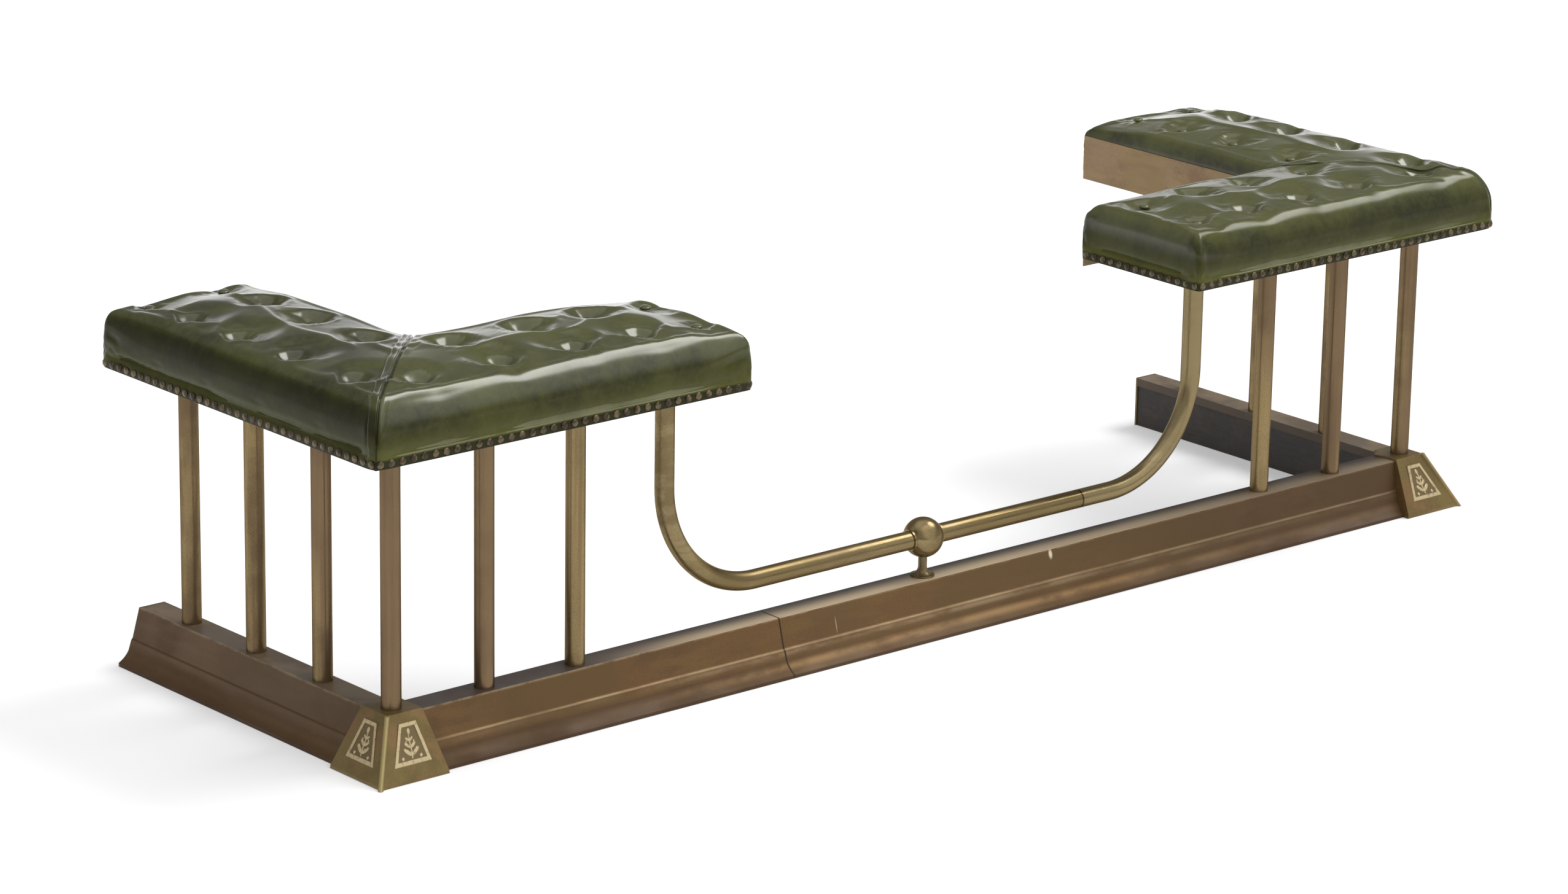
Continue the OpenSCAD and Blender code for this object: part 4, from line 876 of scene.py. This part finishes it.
def seatHeight(x, y, side):
    # Rounded edge: the square root of 1 less the square of how far out a point is in the rounding.
    # Over it stands the crown, less a tuft at each button that brings the leather down to the button
    # in a broad bowl and a steep pit, less a valley from each outer button to its edge, plus folds,
    # two slow waves and the crest, which ends where a tuft begins.
    d = seat
    m, roundH = outOfFlat(x, y, side)
    edge = np.sqrt(1 - m * m)
    drop = np.zeros_like(x)
    folds = np.zeros_like(x)
    rng = np.random.default_rng(11 if side == "left" else 23)
    for bx, by, outerRow, arm in planButtons(side):
        dx, dy = x - bx, y - by
        r = np.hypot(dx, dy)
        turn = np.arctan2(dy, dx)
        lobes, phase = int(rng.integers(3, 6)), rng.uniform(0, 6.28)
        inward = (dy if arm == "front" else dx) / (r + 1e-6)
        towards, away = d["bowl"][outerRow]
        pit, share = d["pit"][outerRow]
        bowl = away + (towards - away) * smoothStep(-0.8, 0.8, inward)
        bowl = bowl * (1 + d["lobes"] * np.sin(lobes * turn + phase))
        fall = (share * (1 - smoothStep(d["tuftFlat"], pit, r))
                + (1 - share) * (1 - smoothStep(d["tuftFlat"], bowl, r)))
        here = np.array([float(bx)]), np.array([float(by)])
        depth = d["thick"] + crownOver(*here, side)[0] - cadHeight(bx, by, arm, outerRow)
        drop = np.maximum(drop, depth * fall)
        near = np.exp(-((r - d["ruckAt"]) / d["ruckWide"]) ** 2)
        folds += d["ruck"] * np.sin((lobes + 3) * turn + 2 * phase) * near
        if outerRow:
            s, t = (dx, dy) if arm == "front" else (dy, dx)
            valley = np.exp(-(s / d["pleatWide"]) ** 2) * (t < 0) * smoothStep(*d["pleatEnds"], t)
            drop = np.maximum(drop, d["pleat"] * valley)
    broad, narrow = d["swell"]
    swell = broad * np.sin(x / 31 + 1.3) * np.sin(y / 27 + 0.4) + narrow * np.sin((x - y) / 23)
    ridge = crest(x, y, side) * np.clip(1 - drop / 3, 0, 1)
    return d["thick"] - roundH * (1 - edge) + edge * (crownOver(x, y, side) - drop + folds + swell + ridge)


def rounded(x, y, side):
    # Each convex corner's rectangle of roundings is pulled in, so that lines of equal distance
    # become superellipses: the point's larger offset over its p-norm scales both its offsets.
    d = seat
    wide, close, o, n = d["roundW"], d["roundIn"], d["over"], d["inner"]
    atMitre, atOuter, atInner = d["square"]
    frontEnd, returnEnd = armEnds[side]
    out = np.stack([x, y], -1).astype(float)
    # each corner's place, the way inwards from it, the roundings' widths and the exponent
    corners = [(-o, -o, 1, 1, wide, wide, atMitre),
               (frontEnd, -o, -1, 1, close, wide, atOuter), (-o, returnEnd, 1, -1, wide, close, atOuter),
               (frontEnd, n, -1, -1, close, close, atInner), (n, returnEnd, -1, -1, close, close, atInner)]
    for cx, cy, sx, sy, wx, wy, p in corners:
        u = 1 - (x - cx) * sx / wx
        v = 1 - (y - cy) * sy / wy
        here = (u > 0) & (v > 0) & (u <= 1.0001) & (v <= 1.0001)
        uu, vv = np.clip(u, 1e-9, 1), np.clip(v, 1e-9, 1)
        scale = np.maximum(uu, vv) / (uu ** p + vv ** p) ** (1 / p)
        out[..., 0] = np.where(here, cx + sx * wx * (1 - uu * scale), out[..., 0])
        out[..., 1] = np.where(here, cy + sy * wy * (1 - vv * scale), out[..., 1])
    # near the arms' ends the fire side comes forward, over the ends of the strips
    for i, end in ((0, frontEnd), (1, returnEnd)):
        along, across = out[..., i].copy(), out[..., 1 - i]
        forward = smoothStep(end - 6.5, end - 4.2, along) * smoothStep(100, 140, across)
        out[..., 1 - i] = across + d["wrap"] * forward
    return out


def armLines(end, seamSide):
    # places across an arm and along it: close together over each rounding, and in step with the seam
    d = seat
    o, n = d["over"], d["inner"]
    bend = 1 - np.cos(np.linspace(0, np.pi / 2, d["edgeLines"]))
    ease, easeIn = d["roundW"] * bend, d["roundIn"] * bend
    middle = np.arange(1, d["acrossLines"]) / d["acrossLines"]
    across = np.concatenate([-o + ease, (-o + d["roundW"]) * (1 - middle) + (n - d["roundIn"]) * middle,
                             (n - easeIn)[::-1]])
    offsets = np.array(seamAcross)
    near = np.sort(np.abs(offsets[offsets * seamSide > 0])) * math.sqrt(2)
    near = np.concatenate([[0], near, near[-1] + np.array([3, 6.5])])
    long = end + o - near[-1]
    steps = np.arange(1, d["alongLines"]) / d["alongLines"]
    far = np.concatenate([steps * (long - d["roundIn"]), long - easeIn[::-1]]) / long
    return across, near, far


def armGrid(arm, side):
    # x, y and the signed distance from the mitre for every point of an arm's top, as two-way grids
    end = armEnds[side][0 if arm == "front" else 1]
    seamSide = 1 if arm == "front" else -1
    across, near, far = armLines(end, seamSide)
    first = across[None, :] + near[:, None]
    last = first[-1][None, :] + (end - first[-1])[None, :] * far[:, None]
    s = np.concatenate([first, last])
    t = np.broadcast_to(across, s.shape)
    q = (s - t) / math.sqrt(2) * seamSide
    return (s, t, q) if arm == "front" else (t, s, q)


def surfaceNormals(points):
    # cross product of the two directions of a grid of points
    return np.cross(np.gradient(points, axis=0), np.gradient(points, axis=1))


def ringOf(f, r):
    # the rim is a closed loop round the L: front arm outside, its end, its fire side, then the return's
    return np.concatenate([f[:-1, 0], f[-1, :-1], f[:0:-1, -1], r[:-1, -1], r[-1, :0:-1], r[:0:-1, 0]])


def tuckedIn(x, y, side, by):
    # a point of the L's outline moved inwards by the same amount from every edge
    frontEnd, returnEnd = armEnds[side]
    o, n = seat["over"], seat["inner"]
    x, y = np.clip(x, by - o, frontEnd - by), np.clip(y, by - o, returnEnd - by)
    past = (x > n - by) & (y > n - by)
    return np.where(past & (x < y), n - by, x), np.where(past & (x >= y), n - by, y)


def seatWall(rim, rimX, rimY, side):
    # Levels from the rim down: a hollow just above the nails, a slight belly over it, dents under the
    # outer buttons that die out downwards, and two slow waves.
    d = seat
    frontEnd, returnEnd = armEnds[side]
    ahead = np.roll(rim, -1, 0)[:, :2] - np.roll(rim, 1, 0)[:, :2]
    out = np.stack([ahead[:, 1], -ahead[:, 0]], -1)
    out /= np.linalg.norm(out, axis=-1, keepdims=True)
    outer, inner, ends = seatEdges(rimX, rimY, side)
    behindStrip = (inner < 1) & (ends > 6)
    # no hollow at the upright corners, where the board's corner is close behind the leather
    fromCorner = np.hypot(rimX + d["over"], rimY + d["over"])
    for cx, cy in ((frontEnd, -d["over"]), (-d["over"], returnEnd),
                   (frontEnd, d["inner"]), (d["inner"], returnEnd)):
        fromCorner = np.minimum(fromCorner, np.hypot(rimX - cx, rimY - cy))
    hollow = smoothStep(14, 42, fromCorner)
    dent = np.zeros(len(rim))
    for bx, by, outerRow, arm in planButtons(side):
        if outerRow:
            along, across = (rimX - bx, rimY) if arm == "front" else (rimY - by, rimX)
            dent += np.exp(-(along / d["dentWide"]) ** 2) * (across < -d["over"] + 1)
    number = np.arange(len(rim))
    wave = 0.5 * np.sin(number / 23.0) + 0.35 * np.sin(number / 9.3 + 1)
    # the levels' heights as shares of the rim's
    shares = np.concatenate([np.linspace(1, 0.62, 8)[1:], np.linspace(0.62, 0.09, 15)[1:], [0.045, 0.016, 0]])
    levels = []
    for share in shares:
        height = rim[:, 2] * share
        up = height / rim[:, 2]
        push = (-d["pull"] * hollow * np.exp(-((height - d["pullAt"]) / d["pullWide"]) ** 2)
                + d["belly"] * np.sin(np.pi * np.clip((height - 22) / 40, 0, 1)) * np.clip(4 - 4 * up, 0, 1)
                + 0.5 * (1 - hollow) * np.sin(np.pi * np.clip(height / 30, 0, 1))
                - d["dent"] * dent * up ** 2 + wave * np.sin(np.pi * up))
        push = np.where(behindStrip, np.minimum(push, 0), push)
        levels.append(np.concatenate([rim[:, :2] + out * push[:, None], height[:, None]], 1))
    return np.stack(levels), out


cloth = {
    "apart": 6.0,             # distance between the lines of the coarse copy
    "frames": 20, "quality": 6, "pressure": 4.0, "mass": 0.02, "stretchStiff": 18.0, "bendStiff": 0.6,
    "most": 2.2,              # how far a point may move
    "calm": (6.0, 40.0),      # it moves less, the nearer it is to a button
    "pinned": 14.0,           # the leather is fixed below this height, at the nails
    "stripHeld": (1.5, 4.0),  # and so near the fire side's edge, except so near an arm's end
    "buttonHeld": (8.0, 18.0), "topFrom": 45.0,       # round each button, but only on the top
    "seamHeld": (0.5, 6.0),   # how firmly, and how near the seam
}


def pickLines(places, apart):
    # the numbers of lines at least so far apart, with the first and the last
    chosen = [0]
    for i, place in enumerate(places[:-1]):
        if place - places[chosen[-1]] >= apart and places[-1] - place >= apart * 0.6:
            chosen.append(i)
    return np.array(chosen + [len(places) - 1])


def splineWeights(fine, coarse):
    # The matrix that turns values at the coarse places into a natural cubic spline's at the fine ones:
    # it solves for the second derivatives, whose jumps in slope the data give.
    n, h = len(coarse), np.diff(coarse)
    left, right = np.eye(n), np.zeros((n, n))
    i = np.arange(1, n - 1)
    left[i, i - 1], left[i, i], left[i, i + 1] = h[:-1] / 6, (h[:-1] + h[1:]) / 3, h[1:] / 6
    right[i, i - 1], right[i, i], right[i, i + 1] = 1 / h[:-1], -1 / h[:-1] - 1 / h[1:], 1 / h[1:]
    second = np.linalg.solve(left, right)
    k = np.clip(np.searchsorted(coarse, fine, side="right") - 1, 0, n - 2)
    b = (fine - coarse[k]) / h[k]
    a = 1 - b
    eye = np.eye(n)
    return (a[:, None] * eye[k] + b[:, None] * eye[k + 1]
            + ((a ** 3 - a) * h[k] ** 2 / 6)[:, None] * second[k]
            + ((b ** 3 - b) * h[k] ** 2 / 6)[:, None] * second[k + 1])


def lengthAlong(line):
    return np.concatenate([[0], np.cumsum(np.linalg.norm(np.diff(line, axis=0), axis=1))])


def inflate(points, faces, pins):
    # blows a copy of the leather up with the cloth simulation and gives back how each point moved
    rows, first, same = np.unique(np.round(points, 3), axis=0, return_index=True, return_inverse=True)
    same = same.ravel()
    mesh = bpy.data.meshes.new("clothCopy")
    mesh.from_pydata((rows * 0.001).tolist(), [], same[np.array(faces)].tolist())
    copy = bpy.data.objects.new("clothCopy", mesh)
    scene.collection.objects.link(copy)
    group = copy.vertex_groups.new(name="held")
    held = np.round(pins[first] * 20) / 20
    for weight in np.unique(held[held > 0]):
        group.add(np.flatnonzero(held == weight).tolist(), float(weight), "REPLACE")
    modifier = copy.modifiers.new("cloth", "CLOTH")
    how = modifier.settings
    how.quality, how.mass = cloth["quality"], cloth["mass"]
    how.tension_stiffness = how.compression_stiffness = how.shear_stiffness = cloth["stretchStiff"]
    how.bending_stiffness = cloth["bendStiff"]
    how.vertex_group_mass = "held"
    how.use_pressure, how.uniform_pressure_force = True, cloth["pressure"]
    how.effector_weights.gravity = 0
    modifier.collision_settings.use_collision = False
    modifier.point_cache.frame_start, modifier.point_cache.frame_end = 1, cloth["frames"]
    for number in range(1, cloth["frames"] + 1):
        scene.frame_set(number)
    blown = copy.evaluated_get(bpy.context.evaluated_depsgraph_get()).data
    after = np.empty(len(rows) * 3, np.float32)
    blown.vertices.foreach_get("co", after)
    moved = after.reshape(-1, 3) * 1000.0 - rows
    bpy.data.objects.remove(copy)
    scene.frame_set(1)
    size = np.linalg.norm(moved, axis=1, keepdims=True)
    # the movement is capped softly: most times the hyperbolic tangent of size over most
    moved *= cloth["most"] * np.tanh(size / cloth["most"]) / (size + 1e-9)
    return moved[same], size


def closedShell(f, r, levels, count):
    # the quads of both tops, given as point numbers, and of the wall's levels, which come after them
    start = f.size + r.size
    return (gridFaces(*f.shape) + gridFaces(*r.shape, f.size, flip=True)
            + ringFaces(ringOf(f, r), np.arange(count) + start)
            + gridFaces(levels, count, start, wrapColumns=True))


def numbered(grid, start=0):
    # point numbers for a grid of points
    return np.arange(grid[..., 0].size).reshape(grid.shape[:2]) + start


def puffed(pf, pr, wall, side):
    # Both tops and the wall, moved as the cloth simulation moves a coarse copy of them, whose lines
    # are in step round the rim: splines carry its movement to the points between.
    middle = pf.shape[1] // 2
    acrossAt = lengthAlong(pf[-1])
    columns = pickLines(acrossAt, cloth["apart"])
    alongAt = [lengthAlong(p[:, middle]) for p in (pf, pr)]
    rowsF, rowsR = (pickLines(a, cloth["apart"]) for a in alongAt)
    idF = numbered(pf)
    idR = numbered(pr, idF.size)
    coarseF, coarseR = pf[rowsF][:, columns], pr[rowsR][:, columns]
    ring = ringOf(idF, idR)
    order = np.argsort(ring)
    spots = order[np.searchsorted(ring[order], ringOf(idF[rowsF][:, columns], idR[rowsR][:, columns]))]
    levels = np.unique(np.concatenate([np.arange(1, len(wall), 3), [len(wall) - 1]]))
    coarseW = wall[levels][:, spots]
    count = len(spots)
    nF = numbered(coarseF)
    nR = numbered(coarseR, nF.size)
    start = nF.size + nR.size
    faces = closedShell(nF, nR, len(levels), count)
    points = np.concatenate([coarseF.reshape(-1, 3), coarseR.reshape(-1, 3), coarseW.reshape(-1, 3)])
    # held at the nails, behind the strips, at each button and a little along the seam
    x, y, z = points.T
    outer, inner, ends = seatEdges(x, y, side)
    nearStrip, farFromEnd = cloth["stripHeld"]
    firmly, nearSeam = cloth["seamHeld"]
    toButton = np.min([np.hypot(x - bx, y - by) for bx, by, outerRow, arm in planButtons(side)], axis=0)
    pins = np.max([(z < cloth["pinned"]) * 1.0, ((inner < nearStrip) & (ends > farFromEnd)) * 1.0,
                   1 - smoothStep(*cloth["buttonHeld"], toButton) - (z < cloth["topFrom"]),
                   firmly * (np.abs(x - y) < nearSeam) * (np.minimum(x, y) < seat["inner"])], axis=0)
    moved, size = inflate(points, faces, pins)
    moved *= smoothStep(*cloth["calm"], toButton)[:, None] ** (z > cloth["topFrom"])[:, None]
    print(side, "leather blown up, moved by", round(float(size.max()), 1), "mm at most,",
          round(float(size.mean()), 2), "on average")
    movedF = moved[:nF.size].reshape(*nF.shape, 3)
    movedR = moved[nF.size:start].reshape(*nR.shape, 3)
    movedW = np.concatenate([ringOf(movedF, movedR)[None], moved[start:].reshape(len(levels), count, 3)])
    weave = splineWeights(acrossAt, acrossAt[columns])
    tops = []
    for move, at, rows in ((movedF, alongAt[0], rowsF), (movedR, alongAt[1], rowsR)):
        tops.append(np.einsum("ri,ijk,cj->rck", splineWeights(at, at[rows]), move, weave))
    tops[1][0] = tops[0][0]
    # round the rim the weights run on from its end to its start again
    rim = ringOf(pf, pr)
    rimAt = lengthAlong(np.concatenate([rim, rim[:1]]))
    around = splineWeights(rimAt[:-1], np.append(rimAt[spots], rimAt[-1]))
    closed = np.concatenate([movedW, movedW[:, :1]], 1)
    down = splineWeights(np.arange(len(wall)) + 1.0, np.concatenate([[0], levels + 1.0]))
    walls = np.einsum("li,ijk,cj->lck", down, closed, around)
    return pf + tops[0], pr + tops[1], wall + walls


def makeSeat(side):
    d = seat
    plans = {}
    for arm in ("front", "return"):
        x, y, q = armGrid(arm, side)
        points = np.concatenate([rounded(x, y, side), seatHeight(x, y, side)[..., None]], -1)
        plans[arm] = (points, q, x, y)
    (pf, qf, xf, yf), (pr, qr, xr, yr) = plans["front"], plans["return"]
    rim, rimQ, rimX, rimY = map(ringOf, (pf, qf, xf, yf), (pr, qr, xr, yr))
    wall, out = seatWall(rim, rimX, rimY, side)
    pf, pr, wall = puffed(pf, pr, wall, side)
    # the lapped seam stands over the surface, and its groove fades before the nails
    lap = np.interp(rimQ, seamAcross, seamUp)
    height = wall[..., 2]
    rise = np.where(lap < 0, lap * smoothStep(22, 36, height), lap * smoothStep(0, 14, height))
    wall = wall + np.concatenate([out, np.zeros((len(out), 1))], 1) * rise[..., None]
    tops = []
    for points, q in ((pf, qf), (pr, qr)):
        normal = surfaceNormals(points)
        normal /= np.linalg.norm(normal, axis=-1, keepdims=True) + 1e-12
        normal *= np.sign(normal[..., 2:3].mean())
        tops.append(points + normal * np.interp(q, seamAcross, seamUp)[..., None])
    # one set of points: both tops, the wall's levels, then the skirt inside
    count = len(rim)
    idF = numbered(pf)
    idR = numbered(pr, idF.size)
    edge = ringOf(idF, idR)
    allTop = np.concatenate([t.reshape(-1, 3) for t in tops])
    allTop[edge, :2] = ringOf(pf, pr)[:, :2] + out * lap[:, None]
    allTop[idR[0]] = allTop[idF[0]]
    innerX, innerY = tuckedIn(rimX, rimY, side, d["skirt"])
    ring = rounded(innerX, innerY, side)
    skirt = np.stack([np.concatenate([ring, np.full((count, 1), h)], 1) for h in (0.0, d["underside"])])
    below = np.concatenate([wall, skirt])
    faces = closedShell(idF, idR, len(below), count)
    # the underside over the board is closed arm by arm, on both sides of the mitre
    last = np.arange(count) + len(allTop) + (len(below) - 1) * count
    corner = 2 * (idF.shape[0] - 1) + idF.shape[1] - 1
    faces += [last[:corner + 1].tolist(), np.concatenate([last[corner:], last[:1]]).tolist()]
    points = np.concatenate([allTop, below.reshape(-1, 3)])
    piece = newObject(side + "_leather_seat", toSide(points, side), faces, hide)
    turnOutward(piece, joinWithin)
    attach(piece, "root")
    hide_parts(side + "_front_cushion", side + "_return_cushion")
    return piece


for side in sides:
    made = makeSeat(side)
    print(made.name, len(made.data.vertices), "points")


def makeButtons(side):
    # Profile: a quarter ellipse dome over a tucked-under rim, spun round, with a faint pucker at the rim
    d = buttonRows
    angle = np.linspace(d["tuck"], np.pi / 2, d["rings"])[:, None]
    turn = np.arange(d["around"])[None, :] / d["around"] * 2 * np.pi
    pucker = 1 + d["pucker"] * np.cos(d["puckers"] * turn) * np.cos(angle) ** 4
    radius = d["wide"] / 2 * np.cos(angle) ** d["bulge"] * pucker
    upward = d["high"] * (0.3 + 0.7 * np.sin(np.maximum(angle, 0)) + 0.5 * np.minimum(angle, 0)) + 0 * turn
    cap = np.stack([radius * np.cos(turn), radius * np.sin(turn), upward], -1).reshape(-1, 3)
    points, faces = [], []
    for bx, by, outerRow, arm in planButtons(side):
        faces += spunFaces(d["rings"], d["around"], len(points) * len(cap))
        points.append(cap + [bx, by, cadHeight(bx, by, arm, outerRow) + d["lift"]])
    piece = newObject(side + "_covered_buttons", toSide(np.concatenate(points), side), faces, hide)
    turnOutward(piece, joinWithin)
    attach(piece, "root")
    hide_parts(side + "_buttons")


nails = {
    "pitch": 16.0, "up": 6.5, "wide": 10.0, "high": 2.3, "back": 1.2,
    "rings": 4, "around": 12,
    "stray": 0.35,                            # how far a head may be off its place
    "tip": 0.12, "tipShare": 0.3,             # how far it may lean
}


def nailRow(length):
    count = int(length // nails["pitch"])
    return (np.arange(count) + 0.5) * length / count


def makeNails(side):
    # Each head is a low dome, a part of a sphere, with a flat back let into the leather
    d = nails
    rng = np.random.default_rng(5 if side == "left" else 6)
    angle = np.linspace(0, np.pi / 2, d["rings"] + 1)[:, None]
    turn = np.arange(d["around"])[None, :] / d["around"] * 2 * np.pi
    radius = d["wide"] / 2 * np.cos(angle)
    cap = np.stack([radius * np.cos(turn), -d["high"] * np.sin(angle) + 0 * turn, radius * np.sin(turn)],
                   -1).reshape(-1, 3)
    head = np.concatenate([cap[:d["around"]] + [0, d["back"], 0], cap])
    # places, and the head's own sideways and inward directions there
    faceFront, faceEnd, faceSide, faceBack = (1, 0, 0, 1), (0, -1, 1, 0), (0, 1, -1, 0), (-1, 0, 0, -1)
    o = seat["over"]
    frontEnd, returnEnd = armEnds[side]
    across = nailRow(seat["inner"] + o) - o
    spots = [(a, -o, faceFront) for a in nailRow(frontEnd + o) - o]
    spots += [(frontEnd, a, faceEnd) for a in across]
    spots += [(-o, a, faceSide) for a in nailRow(returnEnd + o) - o]
    spots += [(a, returnEnd, faceBack) for a in across]
    points, faces = [], []
    for x, y, (a, b, c, e) in spots:
        jitter = rng.uniform(-d["stray"], d["stray"], 2)
        tip = rng.uniform(-d["tip"], d["tip"])
        sideways, upward = head[:, 0] + jitter[0], head[:, 2]
        inward = head[:, 1] + upward * tip * d["tipShare"]
        faces += spunFaces(d["rings"] + 2, d["around"], len(points) * len(head))
        points.append(np.stack([sideways * a + inward * b + x, sideways * c + inward * e + y,
                                upward + d["up"] + jitter[1]], -1))
    piece = newObject(side + "_dome_nails", toSide(np.concatenate(points), side), faces, nailBrass)
    turnOutward(piece, joinWithin)
    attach(piece, "root")
    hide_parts(side + "_nails")


for side in sides:
    makeButtons(side)
    makeNails(side)
print("buttons and nails made")


stage = {
    "floor": (248, 248, 249), "half": 60.0, "gap": 0.0004,       # its tone, half its size, how far below
    "glow": 0.2,                              # the floor's own light, as seen by the camera and in gloss
    "behind": (0.65, 0.76),                   # the way from the camera to the fender, in plan
    "rise": (0.04, 0.30), "front": 0.30, "back": 0.95,           # the low sky ends, and its strengths
    "high": (0.56, 0.21),                     # the middle heights, before the fender and behind it
    "top": (0.70, 0.92), "overhead": 1.1,     # the top begins, and its strength
}


def makeFloor(look):
    half, under = look["half"], -look["gap"]
    corners = [(-half, -half, under), (half, -half, under), (half, half, under), (-half, half, under)]
    mesh = bpy.data.meshes.new("studioFloor")
    mesh.from_pydata(corners, [], [(0, 1, 2, 3)])
    floor = bpy.data.objects.new("studioFloor", mesh)
    scene.collection.objects.link(floor)
    material, tree, shader, _ = newMaterial("paleFloor")
    rays = put(tree, "ShaderNodeLightPath").outputs
    seen = calc(tree, "MAXIMUM", rays["Is Camera Ray"],
                calc(tree, "MAXIMUM", rays["Is Glossy Ray"], rays["Is Transmission Ray"]))
    wire(tree, shader, Base_Color=tone(*look["floor"]), Roughness=0.85, Specular_IOR_Level=0.1,
         Emission_Color=(1, 1, 1, 1), Emission_Strength=calc(tree, "MULTIPLY", seen, look["glow"]))
    mesh.materials.append(material)


def makeSky(look):
    # bright low behind the fender and overhead, and dim between
    world = bpy.data.worlds.new("studio")
    world.use_nodes = True
    tree = world.node_tree
    tree.nodes.clear()
    toward = put(tree, "ShaderNodeTexCoord").outputs["Generated"]
    toward = put(tree, "ShaderNodeSeparateXYZ", {0: toward}).outputs
    behind = calc(tree, "ADD", *(calc(tree, "MULTIPLY", toward[i], look["behind"][i]) for i in (0, 1)))
    strength = ramp(tree, behind, 0.0, 0.5, *look["high"])
    low = ramp(tree, toward[2], *look["rise"], 1.0, 0.0)
    for share, value in ((low, ramp(tree, behind, -0.3, 0.6, look["front"], look["back"])),
                         (ramp(tree, toward[2], *look["top"]), look["overhead"])):
        change = calc(tree, "MULTIPLY", share, calc(tree, "SUBTRACT", value, strength))
        strength = calc(tree, "ADD", strength, change)
    sky = put(tree, "ShaderNodeBackground", {"Color": (1, 1, 1, 1), "Strength": strength}).outputs[0]
    put(tree, "ShaderNodeOutputWorld", {"Surface": sky})
    scene.world = world


lamps = {
    "keySun": {"toward": (0.60, -0.10, 0.79), "power": 1.24, "spread": 27},       # spread in degrees
    "fillSun": {"toward": (0.05, -0.75, 0.66), "power": 0.94, "spread": 80},
}


def makeLamps(looks):
    for name, look in looks.items():
        data = bpy.data.lights.new(name, "SUN")
        data.energy, data.angle = look["power"], math.radians(look["spread"])
        lamp = bpy.data.objects.new(name, data)
        away = Vector(look["toward"]).normalized()
        lamp.location = away * 4
        lamp.rotation_euler = away.to_track_quat("Z", "Y").to_euler()
        scene.collection.objects.link(lamp)


makeFloor(stage)
makeSky(stage)
makeLamps(lamps)
print("stage and lamps set")
